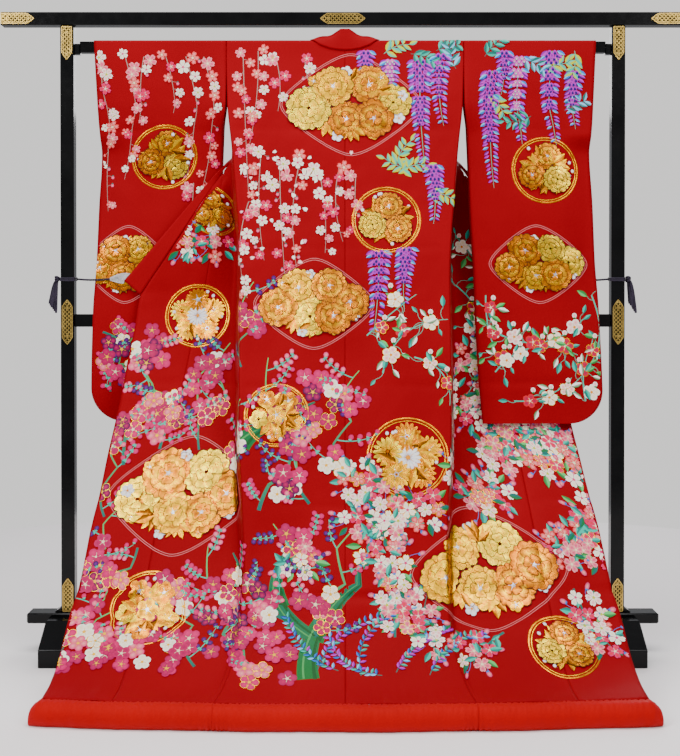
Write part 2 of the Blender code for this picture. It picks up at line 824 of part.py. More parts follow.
def make_hem_roll(materials, collection):
    """The padded roll at the hem, in one stretch under the back and one under each front."""
    side_seam = BACK_EDGE[-1].side
    stretches = {
        "hem_roll_left": (-ROLL_HALF_LENGTH, -side_seam - SEAM_HALF_GAP, 26),
        "hem_roll_back": (-side_seam + SEAM_HALF_GAP, side_seam - SEAM_HALF_GAP, 30),
        "hem_roll_right": (side_seam + SEAM_HALF_GAP, ROLL_HALF_LENGTH, 26),
    }
    for name, (start, end, count) in stretches.items():
        places = [start + (end - start) * i / count for i in range(count + 1)]
        for tip_end in (start, end):
            if abs(tip_end) == ROLL_HALF_LENGTH:
                inwards = math.copysign(1.0, -tip_end)
                places += [tip_end + inwards * ROLL_TIP_LONG * share for share in (0.12, 0.4)]
        rings = [roll_ring(x) for x in sorted(places)]
        loft(name, rings, materials["red_lining"], collection)


def make_stand(materials, collection):
    lacquer = materials["lacquer"]
    y = POST_LINE_Y
    inner = POST_X - POST_WIDE / 2 - FIT_GAP
    block(
        "top_beam",
        (-BEAM_HALF_LENGTH, y - BEAM_DEEP / 2, BEAM_BOTTOM),
        (BEAM_HALF_LENGTH, y + BEAM_DEEP / 2, BEAM_TOP),
        WOOD_EDGE, lacquer, collection,
    )
    block(
        "rod",
        (-inner + BRACKET_LONG, y - ROD_DEEP / 2, ROD_BOTTOM),
        (inner - BRACKET_LONG, y + ROD_DEEP / 2, ROD_TOP),
        WOOD_EDGE, lacquer, collection,
    )
    block(
        "middle_rail",
        (-inner, y - MIDDLE_RAIL_DEEP / 2, MIDDLE_RAIL_BOTTOM),
        (inner, y + MIDDLE_RAIL_DEEP / 2, MIDDLE_RAIL_TOP),
        WOOD_EDGE, lacquer, collection,
    )
    block(
        "base_rail",
        (-BASE_HALF_LENGTH, y - BASE_DEEP / 2, BASE_BOTTOM),
        (BASE_HALF_LENGTH, y + BASE_DEEP / 2, BASE_TOP),
        2 * WOOD_EDGE, lacquer, collection,
    )
    for hand, name in ((-1.0, "left"), (1.0, "right")):
        x = hand * POST_X
        block(
            f"post_{name}",
            (x - POST_WIDE / 2, y - POST_DEEP / 2, BASE_TOP + FIT_GAP),
            (x + POST_WIDE / 2, y + POST_DEEP / 2, BEAM_BOTTOM - FIT_GAP),
            WOOD_EDGE, lacquer, collection,
        )
        near = inner - BRACKET_LONG + FIT_GAP
        far = inner
        block(
            f"rod_bracket_{name}",
            (min(hand * near, hand * far), y - ROD_DEEP / 2 + 0.002, ROD_BOTTOM - 0.004),
            (max(hand * near, hand * far), y + ROD_DEEP / 2 - 0.002, ROD_TOP - BRACKET_LOWER),
            WOOD_EDGE / 2, lacquer, collection,
        )
        make_foot(f"foot_{name}", x, lacquer, collection)
        for out, place_name in ((1.0, "outer"), (-1.0, "inner")):
            wedge_x = x + hand * out * (POST_WIDE / 2 + FIT_GAP)
            turn = hand * out
            outline = [
                (0.0, 0.0),
                (turn * WEDGE_LONG, 0.0),
                (turn * WEDGE_LONG, 0.002),
                (turn * 0.3 * WEDGE_LONG, WEDGE_TALL),
                (0.0, WEDGE_TALL),
            ]
            if turn < 0:
                outline.reverse()
            wedge = outline_plate(
                f"post_wedge_{name}_{place_name}", outline, POST_DEEP, lacquer, collection
            )
            wedge.rotation_euler = (math.pi / 2, 0.0, 0.0)
            wedge.location = (wedge_x, y, BASE_TOP + FIT_GAP)


def make_foot(name, x, lacquer, collection):
    """A foot under a post: its side outline, notched for the base rail, across its width."""
    notch = BASE_DEEP / 2 + FIT_GAP
    notch_floor = BASE_BOTTOM - FIT_GAP
    outline = [
        (-FOOT_REACH, 0.0),
        (FOOT_REACH, 0.0),
        (FOOT_REACH, FOOT_NOSE),
        (FOOT_FLAT_REACH, FOOT_TOP),
        (notch, FOOT_TOP),
        (notch, notch_floor),
        (-notch, notch_floor),
        (-notch, FOOT_TOP),
        (-FOOT_FLAT_REACH, FOOT_TOP),
        (-FOOT_REACH, FOOT_NOSE),
    ]
    foot = outline_plate(name, outline, FOOT_WIDE, lacquer, collection)
    foot.rotation_euler = (math.pi / 2, 0.0, math.pi / 2)
    foot.location = (x, POST_LINE_Y, 0.0)


def pointed_outline(length, pointed_start, pointed_end):
    """Outline of a gilt plate along X, its ends square or drawn to an ogee point."""
    half = length / 2
    wide = PLATE_WIDE / 2
    outline = []
    for sign, pointed in ((1, pointed_end), (-1, pointed_start)):
        if pointed:
            outline.append((sign * (half - POINT_LONG), -sign * wide))
            outline.append((sign * (half - 0.55 * POINT_LONG), -sign * 0.62 * wide))
            outline.append((sign * half, 0.0))
            outline.append((sign * (half - 0.55 * POINT_LONG), sign * 0.62 * wide))
            outline.append((sign * (half - POINT_LONG), sign * wide))
        else:
            outline.append((sign * half, -sign * wide))
            outline.append((sign * half, sign * wide))
    return outline


def make_fittings(materials, collection):
    """Gilt plates on the front and the rear of the beam and of each post."""
    gilt = materials["gilt"]
    beam_middle = (BEAM_BOTTOM + BEAM_TOP) / 2
    end_x = BEAM_HALF_LENGTH - END_PLATE / 2 - 0.001
    long_outline = pointed_outline(LONG_PLATE, True, True)
    end_outline = pointed_outline(END_PLATE, True, False)
    for face, side in (("face", -1.0), ("rear", 1.0)):
        turn = math.pi if side > 0 else 0.0
        beam_y = POST_LINE_Y + side * (BEAM_DEEP / 2 + FIT_GAP + PLATE_THICK / 2)
        post_y = POST_LINE_Y + side * (POST_DEEP / 2 + FIT_GAP + PLATE_THICK / 2)
        middle = outline_plate(
            f"beam_plate_middle_{face}", long_outline, PLATE_THICK, gilt, collection
        )
        middle.rotation_euler = (math.pi / 2, 0.0, turn)
        middle.location = (0.0, beam_y, beam_middle)
        for hand, name in ((-1.0, "left"), (1.0, "right")):
            end = outline_plate(
                f"beam_plate_{name}_{face}", end_outline, PLATE_THICK, gilt, collection
            )
            end.rotation_euler = (math.pi / 2, 0.0, 0.0 if hand > 0 else math.pi)
            end.location = (hand * end_x, beam_y, beam_middle)
            x = hand * POST_X
            heights = {
                "top": BEAM_BOTTOM - 0.003 - END_PLATE / 2,
                "middle": (MIDDLE_RAIL_BOTTOM + MIDDLE_RAIL_TOP) / 2 - 0.004,
                "low": BASE_TOP + 0.002 + END_PLATE / 2,
            }
            for level, height in heights.items():
                outline = long_outline if level == "middle" else end_outline
                roll = math.pi / 2 if level == "top" else -math.pi / 2
                plate = outline_plate(
                    f"post_plate_{name}_{level}_{face}", outline, PLATE_THICK, gilt, collection
                )
                plate.rotation_euler = (math.pi / 2, roll, 0.0)
                plate.location = (x, post_y, height)


def ellipse_ring(centre, half_x, half_y, sides):
    x, y, z = centre
    ring = []
    for i in range(sides):
        angle = 2 * math.pi * i / sides
        ring.append((x + half_x * math.cos(angle), y + half_y * math.sin(angle), z))
    return ring


def make_ties(materials, collection):
    """On each side a clip on the collar's end, tied by a cord to the post."""
    purple = materials["purple_cord"]
    for hand, name in ((-1.0, "left"), (1.0, "right")):
        collar_forward = read_curve(WING_EDGE, "forward", TIE_HEIGHT) - CLIP_BEHIND
        collar_forward -= tuck(hand, TIE_HEIGHT)
        make_clip(f"clip_{name}", hand, collar_forward, materials["clear_clip"], collection)
        post_x = hand * POST_X
        reach_x = POST_WIDE / 2 + FIT_GAP
        reach_y = POST_DEEP / 2 + FIT_GAP
        band_out_x = reach_x + BAND_THICK
        make_band(f"tie_band_{name}", post_x, reach_x, reach_y, purple, collection)
        start = (GARMENT_X + hand * (CLIP_FAR + CORD_GAP_AT_CLIP), POST_LINE_Y - collar_forward)
        end = (post_x - hand * (band_out_x + CORD_GAP_AT_BAND), POST_LINE_Y)
        make_cord(f"tie_cord_{name}", start, end, purple, collection)
        knot_x = post_x + hand * (band_out_x + KNOT_OUT)
        rings = []
        for row in TAILS:
            centre_x = knot_x + hand * row.out
            centre = (centre_x, POST_LINE_Y - TAILS_FORWARD, TIE_HEIGHT - row.drop)
            rings.append(ellipse_ring(centre, row.half_wide, row.half_deep, 8))
        loft(f"tie_tails_{name}", rings, purple, collection)


def make_clip(name, hand, forward, material, collection):
    """A fan-shaped clip at the collar's end."""
    outline = [(GARMENT_X + hand * side, height) for side, height in CLIP_OUTLINE]
    if hand < 0:
        outline.reverse()
    clip = outline_plate(name, outline, CLIP_THICK, material, collection)
    clip.rotation_euler = (math.pi / 2, 0.0, 0.0)
    clip.location = (0.0, POST_LINE_Y - forward, 0.0)


def make_band(name, x, reach_x, reach_y, material, collection):
    """The turns of cord round a post, as one square band, open in the middle for the post."""
    mesh = bpy.data.meshes.new(name)
    body = bmesh.new()
    corners = ((-1, -1), (1, -1), (1, 1), (-1, 1))
    rings = []
    for grow, height in ((0.0, -1), (BAND_THICK, -1), (BAND_THICK, 1), (0.0, 1)):
        ring = []
        for corner_x, corner_y in corners:
            point = (
                x + corner_x * (reach_x + grow),
                POST_LINE_Y + corner_y * (reach_y + grow),
                TIE_HEIGHT + height * BAND_TALL / 2,
            )
            ring.append(body.verts.new(point))
        rings.append(ring)
    for first, second in zip(rings, rings[1:] + rings[:1]):
        for i in range(4):
            j = (i + 1) % 4
            body.faces.new((first[i], first[j], second[j], second[i]))
    bmesh.ops.recalc_face_normals(body, faces=body.faces)
    body.to_mesh(mesh)
    body.free()
    obj = bpy.data.objects.new(name, mesh)
    collection.objects.link(obj)
    mesh.materials.append(material)


def make_cord(name, start, end, material, collection):
    """A short round cord from the clip to the band, with a little sag."""
    curve = bpy.data.curves.new(name, "CURVE")
    curve.dimensions = "3D"
    curve.bevel_depth = TIE_RADIUS
    curve.bevel_resolution = 2
    curve.use_fill_caps = True
    spline = curve.splines.new("POLY")
    spline.points.add(CORD_POINTS - 1)
    for i, point in enumerate(spline.points):
        part = i / (CORD_POINTS - 1)
        x = start[0] + (end[0] - start[0]) * part
        y = start[1] + (end[1] - start[1]) * part**2.2
        sag = CORD_SAG * math.sin(math.pi * part)
        point.co = (x, y, TIE_HEIGHT - sag, 1.0)
    obj = bpy.data.objects.new(name, curve)
    collection.objects.link(obj)
    curve.materials.append(material)


def main():
    clear_scene()
    collection = bpy.data.collections.new("uchikake_on_kimono_stand")
    bpy.context.scene.collection.children.link(collection)
    materials = make_materials()
    make_stand(materials, collection)
    make_fittings(materials, collection)
    make_garment(materials, collection)
    make_hem_roll(materials, collection)
    make_ties(materials, collection)


main()
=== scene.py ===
"""Looks for a red silk uchikake spread on a black lacquered kimono stand.

Metres, +Z up, viewer at -Y. "forward" is the distance in front of the stand's posts and "side" the
distance from the garment's centre seam, as in the part's own source. The cloth panels are dense
grids on the same tables as the solids. Embroidery and gold foil are drawn flat, in cloth
coordinates, then laid on the panels as raised shapes.
"""

import math
import random
from collections import namedtuple

import bpy
import numpy as np
from bpy.props import FloatProperty, FloatVectorProperty, PointerProperty
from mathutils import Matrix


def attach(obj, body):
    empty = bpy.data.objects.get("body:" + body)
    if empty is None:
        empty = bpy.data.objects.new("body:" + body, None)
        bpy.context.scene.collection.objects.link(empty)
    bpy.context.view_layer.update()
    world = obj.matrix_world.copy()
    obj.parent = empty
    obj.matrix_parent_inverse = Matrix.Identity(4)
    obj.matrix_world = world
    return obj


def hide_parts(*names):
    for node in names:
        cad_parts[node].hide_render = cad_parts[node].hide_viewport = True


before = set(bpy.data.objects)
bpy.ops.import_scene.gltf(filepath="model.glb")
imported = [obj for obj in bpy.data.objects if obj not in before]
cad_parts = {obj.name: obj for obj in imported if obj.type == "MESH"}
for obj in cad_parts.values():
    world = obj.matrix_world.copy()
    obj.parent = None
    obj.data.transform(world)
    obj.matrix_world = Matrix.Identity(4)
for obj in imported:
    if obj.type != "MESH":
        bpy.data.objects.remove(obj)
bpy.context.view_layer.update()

bl_info = {
    "name": "Uchikake on a kimono stand",
    "version": (1, 0, 0),
    "blender": (4, 5, 0),
    "location": "3D View > Sidebar > Uchikake",
    "description": "Silk panels, embroidery, gold foil, lacquer and gilt of a spread wedding robe",
    "category": "Object",
}

# Sizes shared with the solids
POST_LINE_Y = 0.2631
POST_X = 0.737
POST_WIDE = 0.036
POST_DEEP = 0.037
BEAM_HALF_LENGTH = 0.914
BEAM_BOTTOM = 1.681
BEAM_TOP = 1.716
BEAM_DEEP = 0.038
ROD_TOP = 1.639
MIDDLE_RAIL_BOTTOM = 0.875
MIDDLE_RAIL_TOP = 0.909
BASE_BOTTOM = 0.0816
BASE_TOP = 0.1093
BASE_DEEP = 0.064
FOOT_WIDE = 0.094
FOOT_REACH = 0.173
FOOT_FLAT_REACH = 0.077
FOOT_TOP = 0.1005
FOOT_NOSE = 0.047
FIT_GAP = 0.0003

# Driving sizes of the gilt fittings
PLATE_WIDE = 0.029
PLATE_THICK = 0.0012
LONG_PLATE = 0.122
END_PLATE = 0.09
POINT_LONG = 0.02

# Driving sizes of the garment
GARMENT_X = 0.006
CLOTH = 0.002
COLLAR_THICK = 0.004
SEAM_HALF_GAP = -0.0001
COLLAR_GAP = 0.0009
COLLAR_TURN_GAP = 0.0011
COLLAR_START = 1.6225
FOLDED_SEAM_GAP = 0.0003
FOLD_START = 0.001
SHOULDER = ROD_TOP + FIT_GAP + CLOTH / 2
ROD_ROWS = (0.0, 0.006, 0.0128, 0.0144, 0.017, 0.02, 0.024, 0.03, 0.036, 0.042)
NECK_HALF = 0.094
NECK_DROP = 0.027
BACK_COLUMNS = (0.0, 0.11, 0.21, 0.282, 0.2915, 0.299, 0.42, 0.56, 0.7, 0.85, 1.0)
COLLAR_SLOPE = 0.6618
OKUMI_TOP = 1.294
OVERLAP_START = 1.285
SLIT_END = 1.33
COLLAR_END = 0.96
HEM_HEIGHT = 0.0543
SLEEVE_BOTTOM = 0.6228
SLEEVE_CORNER = 0.09
CUFF_BOTTOM = 1.39
ROLL_TALL = 0.053
ROLL_DEEP = 0.06
ROLL_HALF_LENGTH = 0.7055
ROLL_TIP_LONG = 0.026
ROLL_TIP_TALL = 0.45
ROLL_TIP_DEEP = 0.6
ROLL_FORWARD = 0.668
ROLL_BOW = 0.04
ROLL_CROWN = 1.055
ROLL_PUCKER = 0.0011
ROLL_TURN_AT = 0.285
ROLL_TURN_WIDE = 0.035
ROLL_CREASE = 0.11
FINE_STEP = 0.004
COLLAR_EDGE_TOP = (0.0715, 1.6043)
COLLAR_EDGE_END = (0.588, 0.998)

# Soft waves across the lower skirt: how deep, how close together, where they start
SKIRT_WAVES = ((0.0045, 15.0, 0.9), (0.003, 37.0, 2.1))
SKIRT_WAVES_TOP = 0.95
SKIRT_WAVES_FADE = 0.16
SLEEVE_WAVE = (0.003, 19.0, 2.5)

# Driving sizes of the ties
TIE_HEIGHT = 1.003
CORD_GAP_AT_CLIP = 0.0005
CORD_GAP_AT_BAND = 0.0016
CORD_SAG = 0.0025
BAND_THICK = 0.003
CLIP_THICK = 0.004
CLIP_BEHIND = 0.003
KNOT_OUT = 0.0085
TAILS_FORWARD = 0.004
STRAND_RADIUS = 0.0017
STRAND_APART = 0.0013
STRAND_TWISTS = 11
TAIL_COUNT = 6
TAIL_LENGTH = 0.062
TAIL_STEP = 0.005

HANDS = ((-1.0, "left"), (1.0, "right"))

Line = namedtuple("Line", "height side forward")
Reach = namedtuple("Reach", "height amount")
Turn = namedtuple("Turn", "length fall share")


def rows_of(kind, *rows):
    """A table whose rows name their columns."""
    return [kind(*row) for row in rows]


# Cloth turning down over an edge of the rod: share is how much of its forward distance it has
ROD_TURN = rows_of(
    Turn,
    (0.0, 0.0, 0.0), (0.0128, 0.0, 0.865), (0.0144, 0.0008, 0.96), (0.017, 0.0033, 1.0),
)

# Centre back seam, from the shoulder down to the hem
CENTRE_BACK = rows_of(
    Line,
    (1.6403, 0.0, 0.0148), (1.6, 0.0, 0.02), (1.4, 0.0, 0.06), (1.2, 0.0, 0.1), (1.0, 0.0, 0.15),
    (0.8, 0.0, 0.205), (0.6, 0.0, 0.27), (0.4, 0.0, 0.345), (0.3, 0.0, 0.395), (0.2, 0.0, 0.455),
    (0.154, 0.0, 0.5), (0.1, 0.0, 0.57), (0.07, 0.0, 0.618), (0.0543, 0.0, 0.66),
)

# Outer edge of a back panel: the armhole, the open slit, then the side seam
BACK_EDGE = rows_of(
    Line,
    (1.6403, 0.3165, 0.0148), (1.6, 0.3165, 0.019), (1.48, 0.313, 0.041), (1.33, 0.296, 0.07),
    (1.24, 0.287, 0.088), (1.0, 0.27, 0.145), (0.815, 0.269, 0.196), (0.61, 0.264, 0.262),
    (0.4, 0.25, 0.338), (0.27, 0.242, 0.405), (0.154, 0.25, 0.493), (0.1, 0.265, 0.563),
    (0.07, 0.279, 0.612), (0.0543, 0.292, 0.655),
)

# Outer edge of a front panel above the side seam: the armhole behind the rod, then the open slit
FRONT_OPEN_EDGE = rows_of(
    Line,
    (1.6403, 0.3165, -0.0148), (1.6, 0.3165, -0.018), (1.48, 0.3165, -0.02), (1.4, 0.308, 0.02),
    (1.33, 0.296, 0.07),
)

# Hollow of the deep fold in which a front panel turns back behind its side seam
FOLD_HOLLOW = rows_of(
    Line,
    (1.6403, 0.205, -0.0148), (1.6, 0.215, -0.022), (1.48, 0.255, -0.055), (1.4, 0.287, -0.034),
    (1.35, 0.298, 0.014), (1.334, 0.3, 0.028), (1.294, 0.302, 0.03), (1.2, 0.297, 0.01),
    (1.13, 0.292, 0.006), (1.0, 0.288, 0.024), (0.92, 0.2875, 0.048), (0.8, 0.287, 0.084),
    (0.6, 0.282, 0.168), (0.4, 0.268, 0.28), (0.3, 0.259, 0.343), (0.2, 0.258, 0.415),
    (0.154, 0.264, 0.465), (0.1, 0.277, 0.546), (0.07, 0.288, 0.602), (0.0543, 0.297, 0.651),
)

# Seam between a front panel and its overlap strip; above the strip it is the collar seam
FRONT_SEAM = rows_of(
    Line,
    (1.6403, 0.094, -0.0148), (1.6, 0.1207, -0.02), (1.48, 0.2001, -0.032), (1.4, 0.253, -0.026),
    (1.35, 0.2861, -0.006), (1.3, 0.3192, 0.01), (1.294, 0.3232, 0.012), (1.288, 0.3241, 0.014),
    (1.24, 0.3317, 0.028), (1.13, 0.349, 0.035), (0.981, 0.373, 0.035), (0.815, 0.409, 0.067),
    (0.601, 0.444, 0.148), (0.32, 0.479, 0.3), (0.139, 0.5, 0.47), (0.1, 0.505, 0.53),
    (0.07, 0.511, 0.592), (0.0543, 0.52, 0.642),
)

# Free edge of the overlap strip; above the collar's end it is the collar seam
WING_EDGE = rows_of(
    Line,
    (1.294, 0.3232, 0.012), (1.24, 0.3589, 0.029), (1.2, 0.3854, 0.033), (1.08, 0.4648, 0.035),
    (0.966, 0.5402, 0.036), (0.96, 0.5442, 0.037), (0.87, 0.558, 0.05), (0.786, 0.5726, 0.076),
    (0.712, 0.5817, 0.105), (0.634, 0.595, 0.135), (0.55, 0.61, 0.168), (0.453, 0.6236, 0.21),
    (0.369, 0.638, 0.255), (0.24, 0.6512, 0.345), (0.189, 0.661, 0.4), (0.1, 0.669, 0.505),
    (0.07, 0.673, 0.57), (0.0543, 0.679, 0.622),
)

# How far the right wing lies behind the left one, where it passes behind the right sleeve
RIGHT_TUCK = rows_of(
    Reach,
    (1.48, 0.0), (1.4, 0.012), (1.294, 0.06), (1.2, 0.06), (1.0, 0.032), (0.92, 0.026), (0.87, 0.026),
    (0.75, 0.045), (0.61, 0.072), (0.5, 0.045), (0.4, 0.015), (0.3, 0.0),
)

# Folded free edge of the collar, drawn straight from the neck to the clip
COLLAR_EDGE = rows_of(
    Reach,
    (1.6043, -0.025), (1.48, -0.04), (1.4, -0.064), (1.35, -0.05), (1.334, -0.036), (1.303, 0.012),
    (1.27, 0.027), (1.2, 0.033), (0.998, 0.034),
)

# Side edges of a sleeve
SLEEVE_INNER = rows_of(
    Reach,
    (1.6403, 0.3172), (1.48, 0.3172), (1.4, 0.325), (1.16, 0.334), (1.04, 0.3415), (0.894, 0.346),
    (0.763, 0.351), (0.6228, 0.3607),
)
SLEEVE_OUTER = rows_of(
    Reach,
    (1.6403, 0.671), (1.43, 0.66), (1.34, 0.654), (1.2, 0.661), (1.05, 0.665), (0.92, 0.673),
    (0.7, 0.678), (0.6228, 0.678),
)

# How far forward each layer of each sleeve hangs
SLEEVE_FALL = {
    ("right", "back"): rows_of(
        Reach,
        (1.6403, 0.0148), (1.6, 0.018), (1.48, 0.024), (1.3, 0.036), (1.0, 0.056), (0.75, 0.08),
        (0.6228, 0.095),
    ),
    ("right", "front"): rows_of(
        Reach,
        (1.6403, -0.0148), (1.6, -0.017), (1.48, -0.018), (1.3, -0.008), (1.0, 0.022), (0.75, 0.062),
        (0.6228, 0.0925),
    ),
    ("left", "back"): rows_of(
        Reach,
        (1.6403, 0.0148), (1.6, 0.016), (1.48, 0.013), (1.3, 0.003), (1.0, 0.021), (0.89, 0.0255),
        (0.75, 0.025), (0.6228, 0.0225),
    ),
    ("left", "front"): rows_of(
        Reach,
        (1.6403, -0.0148), (1.6, -0.018), (1.48, -0.023), (1.3, -0.024), (1.0, 0.01), (0.92, 0.019),
        (0.75, 0.019), (0.6228, 0.02),
    ),
}

# Half of the standing collar, from the centre back over the rod to the front: its seam's side,
# height and forward, its edge's side, height and forward, and its rise
NECK_COLLAR = [
    (0.0, 1.6138, 0.0196, 0.0, 1.6715, 0.015, 0.0),
    (0.016, 1.6144, 0.0196, 0.011, 1.6715, 0.0145, 0.0005),
    (0.04, 1.6185, 0.0192, 0.022, 1.664, 0.0105, 0.0022),
    (0.066, 1.628, 0.0184, 0.033, 1.657, 0.003, 0.0045),
    (0.086, 1.6415, 0.015, 0.042, 1.653, -0.006, 0.0045),
    (0.0925, 1.644, 0.0, 0.05, 1.648, -0.018, 0.002),
    (0.094, 1.64, -0.0165, 0.058, 1.633, -0.023, 0.001),
    (0.103, 1.624, -0.02, 0.07, 1.606, -0.025, 0.0),
]

# Outline of a fan-shaped clip, as side and height: its first and last points meet the collar
CLIP_OUTLINE = [
    (0.5892, 0.9905), (0.606, 0.9925), (0.626, 0.999), (0.626, 1.007), (0.606, 1.016), (0.588, 1.0195),
    (0.5718, 1.018), (0.5888, 0.9978),
]
CLIP_FAR = 0.626

# The photograph's view, in an image 680 wide and 756 tall, and the studio floor's radius
PHOTO_TALL = 756
FOCAL_PIXELS = 1345
CAMERA_BACK = 3.618
CAMERA_HEIGHT = 0.947
CAMERA_DOWN = 0.65
CAMERA_SHIFT = (-0.0036, -0.083)
SENSOR = 36.0
FLOOR_REACH = 2.6

# The valley that a seam draws into the cloth, and how far from a sewn edge the cloth lies still
SEAM_VALLEY = 0.0012
SEAM_WIDE = 0.0035
HELD_EDGE = 0.03

# How finely the panels, the hem roll and the embroidery are laid
BODY_ROW_COUNT = 210
SLEEVE_ROW_COUNT = 120
LEAST_COLUMN_STEP = 0.0115
SKIN_STEP = 0.004
ROLL_SIDES = 28
ROLL_RING_STEP = 0.0032
MOST_STITCH_SPAN = 0.0085
MOST_HALVINGS = 5

# The embroidery's layers: the lowest, the step between them, how many, and padded gold's height
LAYER_LOW = 0.00045
LAYER_STEP = 0.0002
LAYER_COUNT = 9
PADDING = 0.0015

# The engraving of the gilt plates
LATTICE_PITCH = 0.0108
LATTICE_WIDE = 0.0021
SLAB_EDGE = 0.0002

# Storage creases across the robe: height, depth, width
CREASES = [
    (1.4, 0.003, 0.009), (1.08, 0.0014, 0.008), (0.73, 0.0034, 0.01), (0.44, 0.0028, 0.01),
    (0.24, 0.0062, 0.011), (0.185, 0.006, 0.014),
]


def ease(value):
    value = np.clip(value, 0.0, 1.0)
    return value * value * (3 - 2 * value)


def curve(rows, column, height):
    """One column of a table at many heights, as a smooth curve that never overshoots."""
    knots = np.array([row.height for row in reversed(rows)])
    values = np.array([getattr(row, column) for row in reversed(rows)])
    span = np.diff(knots)
    steps = np.diff(values) / span
    slopes = np.concatenate([steps[:1], np.zeros(len(steps) - 1), steps[-1:]])
    same_way = steps[:-1] * steps[1:] > 0
    total = np.where(same_way, steps[:-1] + steps[1:], 1.0)
    slopes[1:-1] = np.where(same_way, 2 * steps[:-1] * steps[1:] / total, 0.0)
    height = np.clip(height, knots[0], knots[-1])
    low = np.clip(np.searchsorted(knots, height) - 1, 0, len(span) - 1)
    t = (height - knots[low]) / span[low]
    found = (1 + 2 * t) * (1 - t) ** 2 * values[low]
    found += t * (1 - t) ** 2 * span[low] * slopes[low]
    found += t * t * (3 - 2 * t) * values[low + 1]
    found += t * t * (t - 1) * span[low] * slopes[low + 1]
    return found


def drape_steps():
    """Lengths of cloth below the shoulder and the heights that they reach."""
    lengths = [turn.length for turn in ROD_TURN]
    heights = [SHOULDER - turn.fall for turn in ROD_TURN]
    count = int((heights[-1] - HEM_HEIGHT) / FINE_STEP) + 1
    lower = heights[-1] - FINE_STEP * np.arange(1, count + 1)
    lower = np.maximum(lower, HEM_HEIGHT)
    path_heights = np.concatenate([heights[-1:], lower])
    ahead = curve(CENTRE_BACK, "forward", path_heights)
    steps = np.hypot(np.diff(path_heights), np.diff(ahead))
    lengths = np.concatenate([lengths, lengths[-1] + np.cumsum(steps)])
    return lengths, np.concatenate([heights, lower])


DRAPE_LENGTHS, DRAPE_HEIGHTS = drape_steps()
CLOTH_LENGTH = DRAPE_LENGTHS[-1]


def height_at(length):
    return np.interp(length, DRAPE_LENGTHS, DRAPE_HEIGHTS)


def length_at(height):
    return np.interp(-np.asarray(height), -DRAPE_HEIGHTS, DRAPE_LENGTHS)


def wrapped(forward, length):
    """Forward distance of cloth that starts on top of the rod and turns down over its edge."""
    turns = [turn.length for turn in ROD_TURN]
    shares = [turn.share for turn in ROD_TURN]
    over_rod = forward * np.interp(length, turns, shares)
    return np.copysign(np.maximum(np.abs(over_rod), SEAM_HALF_GAP), forward)


def ripple(side, height):
    lower = ease(1.0 - height / SKIRT_WAVES_TOP)
    landing = ease((height - HEM_HEIGHT) / SKIRT_WAVES_FADE)
    wave = sum(deep * np.sin(rate * side + start) for deep, rate, start in SKIRT_WAVES)
    return lower * landing * wave


def tuck(hand, height):
    if hand < 0:
        return 0.0 * height
    return curve(RIGHT_TUCK, "amount", height)


def neck_start(side):
    """Length of cloth cut away for the neck, below the shoulder line."""
    inside = np.maximum(0.0, 1.0 - (side / (NECK_HALF - 0.003)) ** 2)
    cut = ROD_TURN[-1].length + NECK_DROP * inside**1.1 - 0.004
    cut = np.where(side > NECK_HALF - 0.003, ROD_TURN[1].length, cut)
    return np.where(side > NECK_HALF, 0.0, cut)


def placed(hand, side, forward, height):
    side, forward, height = np.broadcast_arrays(side, forward, height)
    x = GARMENT_X + hand * side
    return np.stack([x, POST_LINE_Y - forward, height], axis=-1)


def back_grid(hand, across, length):
    edge = curve(BACK_EDGE, "side", height_at(length))
    side = SEAM_HALF_GAP + (edge - SEAM_HALF_GAP) * across
    length = np.maximum(length, neck_start(side) + 0.12 * length)
    height = height_at(length)
    middle = curve(CENTRE_BACK, "forward", height)
    outer = curve(BACK_EDGE, "forward", height)
    forward = middle + (outer - middle) * across**3 + ripple(hand * side, height)
    return placed(hand, side, wrapped(forward, length), height)


def front_edge(column, height):
    own = curve(FRONT_OPEN_EDGE, column, height)
    return np.where(height <= FRONT_OPEN_EDGE[-1].height, curve(BACK_EDGE, column, height), own)


def rounded_turn(q, softness=0.16):
    past = q - 1.0
    corner = (past + softness) ** 2 / (4 * softness)
    return np.where(past <= -softness, 0.0, np.where(past >= softness, past, corner))


def front_grid(hand, across, length):
    height = height_at(length) + 0.0 * across
    tucked = tuck(hand, height)
    start_side = front_edge("side", height)
    start_forward = front_edge("forward", height)
    hollow_side = curve(FOLD_HOLLOW, "side", height)
    hollow_forward = curve(FOLD_HOLLOW, "forward", height) - tucked
    end_side = curve(FRONT_SEAM, "side", height) - SEAM_HALF_GAP
    end_side = end_side + np.where(height > OKUMI_TOP, 2 * SEAM_HALF_GAP, 0.0)
    end_forward = curve(FRONT_SEAM, "forward", height) - tucked
    depth = np.hypot(hollow_side - start_side, hollow_forward - start_forward)
    first = np.minimum(FOLD_START / np.maximum(depth, FOLD_START), 1.0)
    q = first + (2.0 - first) * across
    turned = rounded_turn(q)
    stay = q - turned
    side = start_side + (hollow_side - start_side) * stay + (end_side - hollow_side) * turned
    forward = start_forward + (hollow_forward - start_forward) * stay
    forward = forward + (end_forward - hollow_forward) * turned + ripple(hand * side, height)
    return placed(hand, side, wrapped(forward, length), height)


def overlap_grid(hand, across, length):
    height = height_at(length) + 0.0 * across
    inner = curve(FRONT_SEAM, "side", height) + SEAM_HALF_GAP
    inner = inner + FOLDED_SEAM_GAP * ease((height - 1.0) / 0.15)
    outer = curve(WING_EDGE, "side", height) - SEAM_HALF_GAP
    side = inner + (outer - inner) * across
    start = curve(FRONT_SEAM, "forward", height)
    end = curve(WING_EDGE, "forward", height)
    forward = start + (end - start) * across - tuck(hand, height)
    return placed(hand, side, forward + ripple(hand * side, height), height)


